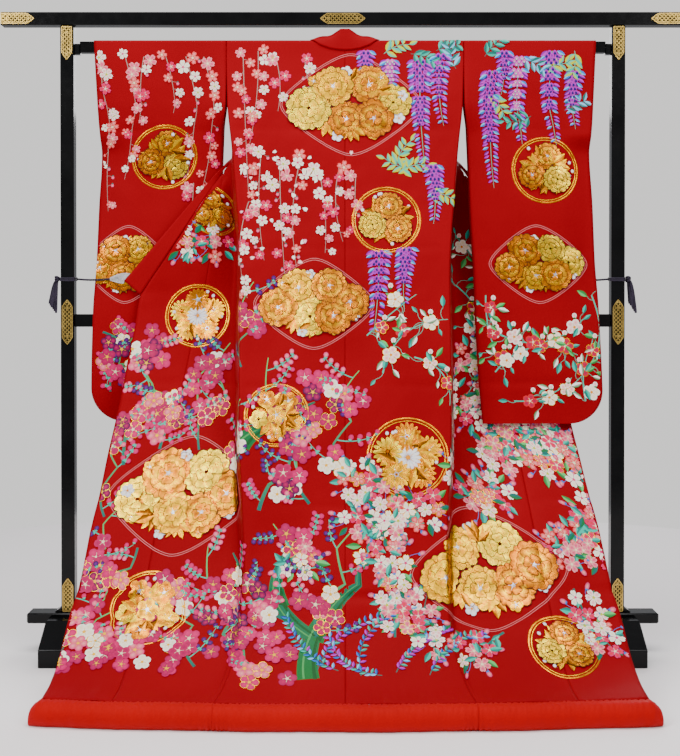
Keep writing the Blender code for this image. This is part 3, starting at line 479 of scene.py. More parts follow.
def collar_grid(hand, across, seam_height):
    down = (COLLAR_START - seam_height) / (COLLAR_START - COLLAR_END)
    edge_side = COLLAR_EDGE_TOP[0] + (COLLAR_EDGE_END[0] - COLLAR_EDGE_TOP[0]) * down
    edge_height = COLLAR_EDGE_TOP[1] + (COLLAR_EDGE_END[1] - COLLAR_EDGE_TOP[1]) * down
    seam_side = NECK_HALF + COLLAR_SLOPE * (SHOULDER - seam_height)
    above = curve(FRONT_SEAM, "forward", seam_height)
    below = curve(WING_EDGE, "forward", seam_height)
    seam_forward = np.where(seam_height > OKUMI_TOP, above, below) - tuck(hand, seam_height)
    edge_forward = curve(COLLAR_EDGE, "amount", edge_height) - tuck(hand, edge_height)
    seam = placed(hand, seam_side, seam_forward, seam_height)
    edge = placed(hand, edge_side, edge_forward, edge_height)
    wide = np.linalg.norm(edge - seam, axis=-1)
    turning = ease((seam_height - 1.25) / 0.04) * ease((1.5 - seam_height) / 0.04)
    gap = COLLAR_GAP + COLLAR_TURN_GAP * turning
    part = (gap + (wide - gap) * across) / wide
    return seam + (edge - seam) * part[..., None]


def neck_grid(across, around):
    rows = np.array(NECK_COLLAR)
    at = np.abs(around) * (len(rows) - 1)
    row = [np.interp(at, np.arange(len(rows)), rows[:, column]) for column in range(7)]
    side = row[0] + (row[3] - row[0]) * across
    height = row[1] + (row[4] - row[1]) * across
    forward = row[2] + (row[5] - row[2]) * across
    arch = row[6] * np.sin(np.pi * across)
    hand = np.where(around < 0, -1.0, 1.0)
    return placed(hand, side, forward + 0.4 * arch, height + arch)


def sleeve_grid(hand, layer, across, length):
    name = "left" if hand < 0 else "right"
    height = height_at(length) + 0.0 * across
    inner = curve(SLEEVE_INNER, "amount", height)
    outer = curve(SLEEVE_OUTER, "amount", height)
    above_bottom = height - SLEEVE_BOTTOM
    rise = np.maximum(SLEEVE_CORNER - above_bottom, 0.0)
    rounded = SLEEVE_CORNER - np.sqrt(np.maximum(SLEEVE_CORNER**2 - rise**2, 0.0))
    outer = outer - np.where(rise > 0, rounded, 0.0)
    side = inner + (outer - inner) * across
    own = curve(SLEEVE_FALL[(name, layer)], "amount", height)
    other_layer = "front" if layer == "back" else "back"
    other = curve(SLEEVE_FALL[(name, other_layer)], "amount", height)
    body = curve(BACK_EDGE, "forward", height)
    if layer == "front":
        body = front_edge("forward", height)
    near_body = np.exp(-9.0 * across) * ease((height - 1.38) / 0.1)
    own = own + (body - own) * near_body
    middle = (own + other) / 2
    sewn_side = ease((CUFF_BOTTOM - height) / 0.05)
    from_cuff_edge = ease((outer - side) / 0.1)
    apart = (1.0 - sewn_side + sewn_side * from_cuff_edge) * ease(above_bottom / 0.1)
    sign = 1.0 if layer == "back" else -1.0
    closest = sign * (CLOTH / 2 + SEAM_HALF_GAP)
    forward = middle + closest + (own - middle - closest) * apart
    forward = np.where(height > 1.6, own, forward)
    deep, rate, lean = SLEEVE_WAVE
    forward = forward + deep * np.sin(rate * side + lean * height) * ease((1.45 - height) / 0.4)
    return placed(hand, side, wrapped(forward, length), height)


def soft_noise(u, v, size, seed):
    """A smooth uneven field from about -1 to 1, its lumps about that size across."""
    chance = random.Random(seed)
    total = 0.0
    for _ in range(7):
        angle = chance.uniform(0, math.pi)
        rate = chance.uniform(0.6, 1.5) * math.pi / size
        total = total + np.sin(
            rate * (u * math.cos(angle) + v * math.sin(angle)) + chance.uniform(0, 2 * math.pi)
        )
    return total / 4.0


def face_ways(grid):
    """Unit normals of a grid, towards the viewer where its columns run to the viewer's right."""
    ways = np.cross(np.gradient(grid, axis=0), np.gradient(grid, axis=1))
    size = np.linalg.norm(ways, axis=-1, keepdims=True)
    return ways / np.maximum(size, 1e-9)


def relief(u, length, seed, depth):
    """How far the cloth stands off its plain form: storage creases and soft unevenness."""
    total = 0.0016 * soft_noise(u, length, 0.14, seed) + 0.0005 * soft_noise(u, length, 0.035, seed + 5)
    total = total + 0.0029 * soft_noise(u, 0.22 * length, 0.1, seed + 9) * ease(length / 0.9)
    for number, (height, deep, wide) in enumerate(CREASES):
        at = length_at(height) + 0.004 * soft_noise(u, 0.0 * u, 0.25, 40 + number)
        strong = 0.55 + 0.45 * soft_noise(u, 0.0 * u, 0.16, seed + 60 + number)
        total = total - deep * np.clip(strong, 0.1, 1.2) * np.exp(-(((length - at) / wide) ** 2))
    landing = ease((length - (CLOTH_LENGTH - 0.075)) / 0.06)
    pucker = np.sin(u * 310.0 + 3.0 * soft_noise(u, length, 0.05, 77))
    total = total + 0.0009 * landing * pucker
    return depth * total


def body_rows():
    return np.unique(np.append(ROD_ROWS, np.linspace(ROD_ROWS[-1], CLOTH_LENGTH, BODY_ROW_COUNT)))


def sleeve_rows():
    corner = length_at(SLEEVE_BOTTOM + SLEEVE_CORNER)
    fine = np.linspace(ROD_ROWS[-1], corner, SLEEVE_ROW_COUNT)
    angles = np.radians(np.linspace(3, 90, 26))
    round_corner = length_at(SLEEVE_BOTTOM + SLEEVE_CORNER * (1 - np.sin(angles)))
    return np.unique(np.concatenate([ROD_ROWS, fine, round_corner]))


class Skin(namedtuple("Skin", "lengths points ways panels start")):
    """The outer face of some panels, unrolled: x is across in cloth, length is down the cloth."""

    def cell(self, across, length):
        row = np.interp(length, self.lengths, np.arange(len(self.lengths)))
        row = np.clip(row, 0, len(self.lengths) - 1.001)
        column = (across - self.start) / SKIN_STEP
        inside = (column > 0.01) & (column < self.points.shape[1] - 1.01)
        inside &= (length > self.lengths[0]) & (length < self.lengths[-1])
        return row, np.clip(column, 0, self.points.shape[1] - 1.001), inside

    def lay(self, across, length, lift):
        """Raised points on the cloth at flat places, the ways it faces, and where there is cloth."""
        row, column, inside = self.cell(across, length)
        part_row = (row % 1)[:, None]
        part_column = (column % 1)[:, None]
        place = 0.0
        way = 0.0
        for down, share_down in ((0, 1 - part_row), (1, part_row)):
            for along, share_along in ((0, 1 - part_column), (1, part_column)):
                corner = row.astype(int) + down, column.astype(int) + along
                place = place + self.points[corner] * share_along * share_down
                way = way + self.ways[corner] * share_along * share_down
                inside &= self.panels[corner] >= 0
        way = way / np.maximum(np.linalg.norm(way, axis=1, keepdims=True), 1e-9)
        return place + way * (CLOTH / 2 + lift)[:, None], way, inside

    def panel_at(self, across, length):
        row, column, _ = self.cell(across, length)
        return self.panels[np.rint(row).astype(int), np.rint(column).astype(int)]

    def find(self, x, z):
        """The flat place, as one complex number, of the cloth seen at x across and z up."""
        away = (self.points[..., 0] - x) ** 2 + (self.points[..., 2] - z) ** 2
        away = np.where(self.panels < 0, 9.0, away) - 0.002 * np.abs(self.ways[..., 1])
        row, column = np.unravel_index(np.argmin(away), away.shape)
        return complex(self.start + column * SKIN_STEP, -self.lengths[row])


def unroll(lengths, strips, hand):
    """One hand's panels as tables with columns evenly spaced along the cloth from the first edge."""
    rows = len(lengths)
    runs = []
    for row in range(rows):
        line = []
        owner = []
        for panel, grid, first_row in strips:
            if row >= first_row:
                line.append(grid[row - first_row if len(grid) < rows else row])
                owner += [panel] * grid.shape[1]
        line = np.concatenate(line)
        along = np.concatenate([[0.0], np.cumsum(np.linalg.norm(np.diff(line, axis=0), axis=1))])
        runs.append((along, line, np.array(owner)))
    widest = max(run[0][-1] for run in runs)
    places = np.arange(0.0, widest + SKIN_STEP, SKIN_STEP)
    points = np.zeros((rows, len(places), 3))
    panels = np.full((rows, len(places)), -1)
    for row, (along, line, owner) in enumerate(runs):
        for axis in range(3):
            points[row, :, axis] = np.interp(places, along, line[:, axis])
        nearest = np.searchsorted(along, places).clip(0, len(along) - 1)
        panels[row] = np.where(places <= along[-1], owner[nearest], -1)
    if hand < 0:
        points = points[:, ::-1]
        panels = panels[:, ::-1]
    return points, panels, places[-1]


class Stitches:
    """Motif shapes gathered flat as complex numbers (across + i up), laid on a skin at the end."""

    def __init__(self, skin):
        self.skin = skin
        self.places = []
        self.lifts = []
        self.tints = []
        self.faces = {"thread": [], "gold": []}
        self.count = 0
        self.layer = 0
        self.raised = 0.0

    def add(self, places, lifts, tints, faces, kind):
        faces = np.asarray(faces) + self.count
        self.places.append(np.asarray(places, complex))
        self.lifts.append(np.broadcast_to(np.asarray(lifts, float), len(places)))
        self.tints.append(np.broadcast_to(np.asarray(tints, float), (len(places), 3)))
        self.faces[kind].append(faces)
        self.count += len(places)

    def next_layer(self):
        """Each motif lies a little above the ones it overlaps."""
        self.layer = (self.layer + 1) % LAYER_COUNT
        return LAYER_LOW + LAYER_STEP * self.layer + self.raised


def tint(red, green, blue):
    """A colour given from 0 to 255, made linear and a little deeper, as dyed thread looks."""
    return np.array([(value / 255.0) ** 2.9 for value in (red, green, blue)])


def patch(work, outline, heart, rim_tint, heart_tint, lift, dome, kind="thread"):
    """A raised satin-stitched patch: a fan from its raised heart to its outline."""
    count = len(outline)
    places = np.append(np.asarray(outline), heart)
    lifts = np.append(np.full(count, lift), lift + dome)
    tints = np.vstack([np.tile(rim_tint, (count, 1)), heart_tint])
    faces = [(i, (i + 1) % count, count) for i in range(count)]
    work.add(places, lifts, tints, faces, kind)


def line(work, path, width, colour, lift, kind="thread", closed=False):
    """A couched thread or stem along a path, its middle raised; a pair of widths tapers it."""
    path = np.asarray(path, complex)
    ways = np.gradient(path)
    if closed:
        ways = np.roll(path, -1) - np.roll(path, 1)
    ways = 1j * ways / np.maximum(np.abs(ways), 1e-9)
    if isinstance(width, tuple):
        width = np.linspace(*width, len(path))
    half = np.broadcast_to(np.asarray(width, float), len(path)) / 2
    count = len(path)
    places = np.concatenate([path + ways * half, path, path - ways * half])
    dome = np.minimum(0.3 * half, 0.0012 if kind == "gold" else 0.0002)
    lifts = np.concatenate([np.full(count, lift), lift + dome, np.full(count, lift)])
    faces = []
    last = count if closed else count - 1
    for i in range(last):
        j = (i + 1) % count
        for band in (0, count):
            faces.append((band + i, band + j, band + count + j))
            faces.append((band + i, band + count + j, band + count + i))
    colour = np.asarray(colour, float)
    tints = colour if colour.ndim == 1 else np.concatenate([colour, colour, colour])
    work.add(places, lifts, tints, faces, kind)


def circle(count):
    return np.exp(2j * math.pi * np.arange(count) / count)


def scatter(chance, wide, tall):
    return complex(chance.uniform(-wide, wide), chance.uniform(-tall, tall))


def bend(start, end, bow, count=14):
    """A path between two places, bowed to one side by a share of its length."""
    t = np.linspace(0, 1, count)
    return start + (end - start) * t + 1j * (end - start) * bow * 4 * t * (1 - t)


# Half outlines of petals and leaves of length 1: distance out, half width
PETALS = {
    "notched": [(0.06, 0), (0.3, 0.2), (0.62, 0.36), (0.9, 0.28), (1.0, 0.12), (0.88, 0)],
    "round": [(0.1, 0), (0.28, 0.28), (0.58, 0.44), (0.88, 0.34), (1.0, 0.12), (1.02, 0)],
    "scallop": [(0.05, 0), (0.35, 0.36), (0.68, 0.54), (0.88, 0.44), (0.93, 0.26), (0.88, 0.14), (0.97, 0)],
    "long": [(0.12, 0), (0.45, 0.1), (0.8, 0.13), (0.95, 0.07), (1.0, 0)],
    "leaf": [(0.0, 0), (0.25, 0.17), (0.52, 0.22), (0.8, 0.12), (1.0, 0)],
    "point": [(0.0, 0), (0.22, 0.12), (0.4, 0.3), (0.52, 0.17), (0.8, 0.12), (1.0, 0)],
}


def petal_outline(shape, turn):
    half = PETALS[shape]
    upper = [complex(out, wide) for out, wide in half]
    lower = [complex(out, -wide) for out, wide in reversed(half[1:-1])]
    return np.array(upper + lower) * turn


def flower(work, at, radius, shape, count, colours, kind="thread", edged=False, tilt=0.0, lift=None):
    """A blossom: petals, an optional gold edge, a heart and stamens."""
    rim, inner, heart = colours
    lift = lift or work.next_layer()
    padded = shape == "scallop"
    for number in range(count):
        turn = radius * np.exp(1j * (tilt + 2 * math.pi * number / count))
        outline = at + petal_outline(shape, turn)
        low = lift + 0.00025 * (number % 2) * padded
        patch(work, outline, at + 0.6 * turn, rim, inner, low, 0.0007 if padded else 0.0003, kind)
        if padded and radius > 0.015:
            line(work, outline[1:], 0.0015, GOLD_SHADE, low + 0.0003, "thread")
        if edged:
            line(work, outline[1:], 0.0012, GOLD_LIGHT, lift + 0.00012, "gold")
    patch(work, at + 0.17 * radius * circle(8), at, heart, heart, lift + 0.0003, 0.0004, kind)
    for number in range(5 if radius > 0.012 else 0):
        out = radius * np.exp(1j * (tilt + 0.6 + 2 * math.pi * number / 5))
        path = [at + 0.12 * out, at + 0.48 * out]
        line(work, path, 0.0009, heart, lift + 0.00035, kind)


def bud(work, at, radius, colours, turn, calyx, stretch=1.08):
    """A bud with its calyx behind it."""
    lift = work.next_layer()
    ring = circle(8).real * stretch + 1j * circle(8).imag
    patch(work, at + radius * turn * ring, at, colours[0], colours[1], lift, 0.0004)
    for side in (-42, 0, 42):
        way = turn * np.exp(1j * math.radians(side))
        outline = at - 1.55 * radius * turn + petal_outline("leaf", 1.0 * radius * way)
        patch(work, outline, at - 1.1 * radius * turn, calyx, calyx, lift + 0.0003, 0.0001)


def leaf(work, base, turn, light, dark, shape="leaf", kind="thread"):
    """A leaf of two tones, one on each side of its midrib."""
    lift = work.next_layer()
    half = PETALS[shape]
    for side, colour in ((1, light), (-1, dark)):
        rim = [complex(out, side * wide) for out, wide in half]
        rib = [complex(out, 0.0) for out, _ in half[1:-1]]
        count = len(rim)
        inner = [0, *range(count, count + len(rib)), count - 1]
        faces = []
        for i in range(count - 1):
            faces += [(i, i + 1, inner[i + 1]), (i, inner[i + 1], inner[i])]
        # At both tips the rib meets the rim, so one of the two triangles has no width
        faces = [face for face in faces if len(set(face)) == 3]
        lifts = np.repeat([lift, lift + 0.0003], [count, len(rib)])
        tints = np.vstack([np.tile(colour, (count, 1)), np.tile(0.6 * colour + 0.4 * light, (len(rib), 1))])
        work.add(base + turn * np.array(rim + rib), lifts, tints, faces, kind)


def finish_stitches(work, panel_names):
    """Lays the gathered shapes on the cloth and makes one piece of them for each panel."""
    # One row a point: its flat place, its lift and its colour
    laid = np.column_stack([np.concatenate(each) for each in (work.places, work.lifts, work.tints)])
    faces = np.concatenate(work.faces["thread"] + work.faces["gold"])
    gold_count = sum(map(len, work.faces["gold"]))
    kinds = np.repeat([0, 1], [len(faces) - gold_count, gold_count])
    for _ in range(MOST_HALVINGS):
        corners = laid[faces, 0]
        sides = np.abs(np.roll(corners, -1, axis=1) - corners)
        large = sides.max(axis=1) > MOST_STITCH_SPAN
        if not large.any():
            break
        # The longest side of each large face is halved
        longest = sides[large].argmax(axis=1)
        row = np.arange(len(longest))
        first, second, third = (faces[large][row, (longest + step) % 3] for step in range(3))
        middle = len(laid) + row
        laid = np.concatenate([laid, (laid[first] + laid[second]) / 2])
        halves = [np.stack([first, middle, third], 1), np.stack([middle, second, third], 1)]
        faces = np.concatenate([faces[~large]] + halves)
        kinds = np.concatenate([kinds[~large], kinds[large], kinds[large]])
    places = laid[:, 0]
    points, outwards, inside = work.skin.lay(places.real, -places.imag, laid[:, 1].real)
    corners = points[faces]
    reach = np.linalg.norm(np.roll(corners, -1, axis=1) - corners, axis=2).max(axis=1)
    whole = inside[faces].all(axis=1) & (reach < 2.5 * MOST_STITCH_SPAN)
    faces = faces[whole]
    kinds = kinds[whole]
    corners = corners[whole]
    facing = np.cross(corners[:, 1] - corners[:, 0], corners[:, 2] - corners[:, 0])
    inwards = (facing * outwards[faces[:, 0]]).sum(axis=1) < 0
    faces[inwards] = faces[inwards][:, ::-1]
    middles = places[faces].mean(axis=1)
    owners = work.skin.panel_at(middles.real, -middles.imag)
    made = {}
    for number, panel in enumerate(panel_names):
        own = owners == number
        if not own.any():
            continue
        used, index = np.unique(faces[own], return_inverse=True)
        finishes = [finish_of("thread"), finish_of("gold")]
        obj = mesh_piece(f"stitching_{panel}", points[used], index.reshape(-1, 3), finishes)
        obj.data.polygons.foreach_set("material_index", kinds[own])
        colours = obj.data.color_attributes.new("tint", "FLOAT_COLOR", "POINT")
        rgba = np.ones((len(used), 4))
        rgba[:, :3] = laid[used, 2:].real
        colours.data.foreach_set("color", rgba.ravel())
        made[panel] = obj
    return made


WHITE = tint(255, 250, 240)
CREAM = tint(246, 232, 196)
PALE_PINK = tint(250, 166, 168)
PINK = tint(226, 50, 132)
CORAL = tint(226, 52, 52)
MAGENTA = tint(178, 0, 104)
DEEP_PINK = tint(204, 0, 114)
PLUM_PURPLE = tint(60, 0, 92)
VIOLET = tint(136, 16, 158)
LILAC = tint(204, 66, 204)
BLUE = tint(0, 142, 216)
DEEP_BLUE = tint(40, 20, 128)
SKY = tint(146, 212, 238)
TEAL = tint(6, 126, 118)
SEA = tint(50, 200, 178)
GREEN = tint(16, 132, 66)
PALE_GREEN = tint(112, 204, 126)
LIME = tint(204, 206, 60)
STEM_GREY = tint(178, 160, 150)
LINE_PINK = tint(222, 138, 140)
GOLD_LIGHT = tint(248, 196, 10)
GOLD_PALE = tint(244, 216, 74)
GOLD = tint(236, 164, 0)
GOLD_DEEP = tint(206, 124, 0)
GOLD_SHADE = tint(92, 34, 4)
SILVER = tint(226, 226, 236)

CHERRY = [
    (WHITE, PALE_PINK, LIME), (PALE_PINK, PINK, CREAM), (PINK, CORAL, CREAM), (WHITE, CREAM, PINK),
    (CORAL, PALE_PINK, CREAM),
]
PLUM = [
    (MAGENTA, DEEP_PINK, GOLD_LIGHT), (DEEP_PINK, PINK, GOLD_LIGHT), (WHITE, CREAM, GOLD_LIGHT),
    (MAGENTA, DEEP_PINK, GOLD_LIGHT), (DEEP_PINK, MAGENTA, CREAM), (MAGENTA, DEEP_PINK, CREAM),
    (PLUM_PURPLE, DEEP_PINK, GOLD_LIGHT), (PINK, PALE_PINK, GOLD_LIGHT), (DEEP_PINK, PINK, CREAM),
]
GOLDS = [
    (GOLD_LIGHT, GOLD, SILVER), (GOLD, GOLD_DEEP, SILVER), (GOLD_PALE, GOLD_LIGHT, GOLD_SHADE),
    (GOLD_DEEP, GOLD, SILVER),
]


def tilted(degrees, size=1.0):
    return size * np.exp(1j * math.radians(degrees))


def weeping_branch(work, top, drop, lean, chance):
    """A hanging cherry branch with blossoms and buds on short stalks, thinning downwards."""
    path = bend(top, top + complex(lean, -drop), chance.uniform(-0.1, 0.1), 26)
    line(work, path, (0.0022, 0.001), STEM_GREY, 0.0003)
    along = 0.0
    while along < 0.99:
        spot = path[int(along * (len(path) - 1))]
        side = chance.choice((-1, 1))
        out = spot + complex(side * chance.uniform(0.004, 0.02), chance.uniform(-0.016, 0.004))
        line(work, bend(spot, out, 0.15, 5), 0.0009, STEM_GREY, 0.0003)
        if chance.random() < 0.8:
            colours = chance.choice(CHERRY)
            size = chance.uniform(0.0135, 0.019) * (1.06 - 0.35 * along)
            flower(work, out, size, "notched", 5, colours, tilt=chance.uniform(0, 6))
        else:
            bud(work, out, 0.0045, (PINK, PALE_PINK), tilted(-90), TEAL)
        along += chance.uniform(0.04, 0.075) * 0.45 / drop


def loose_petals(work, spots, chance):
    for at in spots:
        turn = tilted(chance.uniform(0, 360), chance.uniform(0.011, 0.016))
        colour = chance.choice((WHITE, PALE_PINK, PINK))
        outline = at + petal_outline("notched", turn)
        patch(work, outline, at + 0.5 * turn, colour, WHITE, work.next_layer(), 0.0003)


def pinnate_leaf(work, base, degrees, chance):
    """A wisteria leaf: paired leaflets along a stalk, and one at its tip."""
    stalk, blade = chance.choice(((TEAL, SKY), (TEAL, SEA), (SEA, LIME)))
    pairs = 4
    turn = tilted(degrees, 0.075)
    tip = base + turn
    path = bend(base, tip, 0.1, 10)
    line(work, path, 0.0016, stalk, 0.0003)
    for number in range(pairs):
        spot = path[1 + int(number * (len(path) - 2) / pairs)]
        size = abs(turn) * (0.42 - 0.1 * number / pairs)
        for side in (1, -1):
            way = turn / abs(turn) * tilted(side * chance.uniform(42, 58), size)
            light, dark = chance.choice(((blade, stalk), (stalk, blade)))
            leaf(work, spot, way, light, dark)
    leaf(work, tip, 0.34 * turn, blade, stalk)


def raceme(work, top, drop, wide, chance):
    """A wisteria raceme: close florets above, then pairs of florets on stalks down to the tip."""
    path = bend(top, top + complex(chance.uniform(-0.02, 0.02), -drop), chance.uniform(-0.05, 0.05), 30)
    line(work, path, (0.002, 0.0008), SEA, 0.0003)
    rows = int(drop / 0.0112)
    pale = chance.random() < 0.35
    for number in range(rows):
        t = number / rows
        spot = path[int(t * (len(path) - 1))]
        size = 0.024 * (1.0 - 0.42 * t) * (0.7 + wide / 0.16)
        for side in (-1, 1):
            base = spot + side * (1.0 - t) ** 0.7 * wide * 0.26
            way = tilted(-90 + side * chance.uniform(48, 64), size)
            light, dark = ((LILAC, VIOLET), (BLUE, SKY), (LILAC, DEEP_BLUE))[(number + (side > 0)) % 3]
            leaf(work, base, way, light, dark)
        if t < 0.62:
            # The open florets of the upper part: a broad pale petal over a dark lip
            for side in (-1, 0, 1) if number % 2 else (-0.5, 0.5):
                at = spot + complex(side * wide * 0.24 * (1.0 - t), 0.004)
                turn = tilted(-90 + 16 * side, 0.015 * (1.0 - 0.35 * t))
                petal = at + petal_outline("round", turn)
                lip = at + 0.42 * turn + petal_outline("round", 0.55 * turn)
                inner, deep = (PALE_PINK, WHITE) if pale else (VIOLET, DEEP_BLUE)
                patch(work, petal, at + 0.5 * turn, LILAC, inner, work.next_layer(), 0.0004)
                patch(work, lip, at + 0.7 * turn, DEEP_BLUE, deep, work.next_layer() + 0.0005, 0.0003)


def jagged(start, end, chance, kinks):
    """An angular branch between two places."""
    spots = [start]
    for number in range(1, kinks):
        side = 1 if number % 2 else -1
        between = start + (end - start) * number / kinks
        spots.append(between + side * 1j * (end - start) * chance.uniform(0.04, 0.12))
    spots.append(end)
    path = [bend(a, b, 0.03, 7)[:-1] for a, b in zip(spots, spots[1:])]
    return np.concatenate(path + [[end]])


def plum_branch(work, start, end, chance, thick=0.007):
    """A plum branch, teal to green, with round blossoms near it and rows of buds on side twigs."""
    path = jagged(start, end, chance, 4)
    share = np.linspace(0, 1, len(path))[:, None]
    colour = TEAL * (1 - share) + PALE_GREEN * share
    line(work, path, (thick, 0.0022), colour, 0.0004)
    way = (end - start) / abs(end - start)
    spot_count = max(int(abs(end - start) / 0.046), 2)
    for number in range(spot_count):
        spot = path[int((number + 0.6) / spot_count * (len(path) - 1))]
        side = chance.choice((-1, 1))
        twig_end = spot + way * tilted(side * chance.uniform(35, 75), chance.uniform(0.05, 0.1))
        twig = bend(spot, twig_end, side * 0.08, 10)
        line(work, twig, (0.003, 0.0012), SEA, 0.0003)
        ahead = (twig_end - spot) / abs(twig_end - spot)
        hues = chance.choice(((DEEP_PINK, PINK), (PINK, PALE_PINK), (DEEP_PINK, PINK), (PLUM_PURPLE, VIOLET)))
        for step in range(3, 10, 2):
            for edge in (-1, 1):
                if chance.random() < 0.85:
                    out = ahead * tilted(62 * edge)
                    bud(work, twig[step] + 0.0105 * out, chance.uniform(0.0056, 0.007), hues, out, SEA)
    for number in range(max(int(abs(end - start) / 0.082), 2)):
        middle = path[int(chance.uniform(0.1, 1.0) * (len(path) - 1))]
        middle = middle + scatter(chance, 0.026, 0.024)
        round_it = chance.uniform(0, 360)
        for place in range(chance.choice((2, 3, 3))):
            colours = chance.choice(PLUM)
            size = chance.uniform(0.0205, 0.0262)
            at = middle + tilted(round_it + 115 * place, 0.024)
            edged = chance.random() < 0.3
            flower(work, at, size, "round", 5, colours, edged=edged, tilt=chance.uniform(0, 6))


def cherry_cluster(work, at, chance, count=7, reach=0.05):
    """A ball of cherry blossoms with leaves behind it and pink buds in blue calyxes round it."""
    for number in range(6):
        way = tilted(60 * number + chance.uniform(-20, 20))
        light, dark = chance.choice(((SEA, TEAL), (PALE_GREEN, GREEN), (TEAL, GREEN)))
        leaf(work, at + 0.7 * reach * way, way * chance.uniform(0.026, 0.038), light, dark)
    for number in range(5):
        way = tilted(72 * number + chance.uniform(-30, 30))
        end = at + way * reach * chance.uniform(1.15, 1.55)
        line(work, bend(at + 0.6 * reach * way, end, 0.1, 6), 0.0011, BLUE, 0.0003)
        bud(work, end, 0.0064, (DEEP_PINK, PALE_PINK), way, BLUE, 1.5)
    for number in range(count):
        way = tilted(360 * number / max(count - 1, 1), reach * chance.uniform(0.55, 0.95))
        spot = at + (way if number else 0)
        colours = chance.choice(CHERRY)
        edged = chance.random() < 0.15
        size = chance.uniform(0.0175, 0.0215)
        flower(work, spot, size, "notched", 5, colours, edged=edged, tilt=chance.uniform(0, 6))


def cherry_spray(work, start, end, chance, clusters=3):
    """A branch of cherry clusters."""
    path = bend(start, end, chance.uniform(-0.15, 0.15), 20)
    line(work, path, (0.006, 0.002), TEAL, 0.0003)
    for number in range(8):
        spot = path[2 + 2 * number]
        way = tilted(chance.uniform(0, 360), chance.uniform(0.02, 0.034))
        leaf(work, spot, way, SEA, TEAL)
    for number in range(clusters):
        spot = path[int((number + 0.7) / clusters * 18)]
        cherry_cluster(work, spot + scatter(chance, 0.02, 0.02), chance, chance.choice((5, 6, 7)))


def camellia_spray(work, start, end, chance, blooms=3):
    """A twining branch of green leaves with white and coral blooms."""
    path = bend(start, end, chance.uniform(-0.22, 0.22), 24)
    line(work, path, (0.0036, 0.0016), SEA, 0.0003)
    for number in range(int(abs(end - start) / 0.0145)):
        spot = path[int(chance.uniform(0, 23))]
        out = spot + tilted(chance.uniform(0, 360), chance.uniform(0.01, 0.04))
        line(work, bend(spot, out, 0.2, 5), 0.0012, SEA, 0.0003)
        light, dark = chance.choice(((PALE_GREEN, GREEN), (SEA, TEAL), (WHITE, GREEN)))
        leaf(work, out, (out - spot) / abs(out - spot) * chance.uniform(0.02, 0.034), light, dark)
    for number in range(blooms):
        spot = path[int((number + 0.5) / blooms * 23)]
        shift = scatter(chance, 0.02, 0.015)
        colours = chance.choice(((WHITE, CREAM, GOLD), (CORAL, MAGENTA, CREAM), (WHITE, PALE_PINK, GOLD)))
        size = chance.uniform(0.017, 0.023)
        flower(work, spot + shift, size, "round", 5, colours, edged=chance.random() < 0.5)
        bud(work, spot + 1.6 * shift + 0.03j, 0.0065, (WHITE, PALE_PINK), 1j, GREEN)


def clover_spray(work, start, end, chance):
    """An arching stem of bush clover with small blue and violet leaves."""
    path = bend(start, end, chance.uniform(0.12, 0.28), 16)
    line(work, path, (0.0024, 0.0009), TEAL, 0.0003)
    for number in range(1, 16):
        for side in (-1, 1):
            way = (end - start) / abs(end - start) * tilted(side * chance.uniform(35, 65), 0.017)
            light, dark = chance.choice(((BLUE, DEEP_BLUE), (LILAC, VIOLET), (SKY, BLUE), (SEA, TEAL)))
            leaf(work, path[number], way, light, dark)


def gold_leaf_spray(work, at, turn, chance, count=5):
    for number in range(count):
        way = turn * tilted(-56 + 112 * number / (count - 1), chance.uniform(0.75, 1.0))
        light, dark = chance.choice(((GOLD_LIGHT, GOLD_DEEP), (GOLD, GOLD_SHADE), (GOLD_LIGHT, GOLD)))
        leaf(work, at, way, light, dark, chance.choice(("leaf", "point")), "gold")


def peony(work, at, radius, chance, colours=None):
    """A large gold peony: three rings of scalloped petals, one over the other."""
    rim, inner, heart = colours or chance.choice(GOLDS)
    start = chance.uniform(0, 6)
    low = 0.0005 + 0.0007 * chance.randrange(3) + work.raised
    rings = ((1.0, 8, inner), (0.72, 6, GOLD_LIGHT), (0.44, 4, inner))
    for number, (share, count, tone) in enumerate(rings):
        mixed = (rim, tone, heart)
        lift = low + 0.0005 * number
        flower(work, at, radius * share, "scallop", count, mixed, "gold", tilt=start + number, lift=lift)


def roundel(work, at, radius, filling, chance):
    """A gold medallion: a double ring filled with blossoms and leaves."""
    line(work, at + radius * circle(72), 0.004, GOLD, 0.0004, "gold", closed=True)
    line(work, at + 0.93 * radius * circle(72), 0.0018, GOLD_LIGHT, 0.0004, "gold", closed=True)
    for number in range(9):
        way = tilted(40 * number + chance.uniform(-12, 12))
        base = at + radius * 0.3 * way
        gold_leaf_spray(work, base, way * radius * 0.56, chance, 3)
    if filling == "chrysanthemum":
        for number in range(5):
            spot = at + radius * 0.52 * tilted(72 * number + 20)
            colours = GOLDS[number % 3]
            flower(work, spot, radius * 0.38, "long", 16, colours, "gold")
            flower(work, spot, radius * 0.22, "long", 12, (GOLD_LIGHT, GOLD, GOLD_DEEP), "gold", tilt=0.2)
        flower(work, at, radius * 0.34, "long", 16, (SILVER, WHITE, GOLD), "thread")
    elif filling == "plum":
        for number in range(6):
            spot = at + radius * (0.58 if number else 0.0) * tilted(72 * number + 50)
            flower(work, spot, radius * 0.3, "round", 5, GOLDS[number % 4], "gold", tilt=number)
    else:
        for number in range(3):
            spot = at + radius * 0.44 * tilted(120 * number + 80)
            peony(work, spot, radius * 0.44, chance)
    for number in range(7):
        spot = at + radius * chance.uniform(0.7, 0.84) * tilted(chance.uniform(0, 360))
        bud(work, spot, 0.0045, (SILVER, WHITE), 1j, GOLD_DEEP)


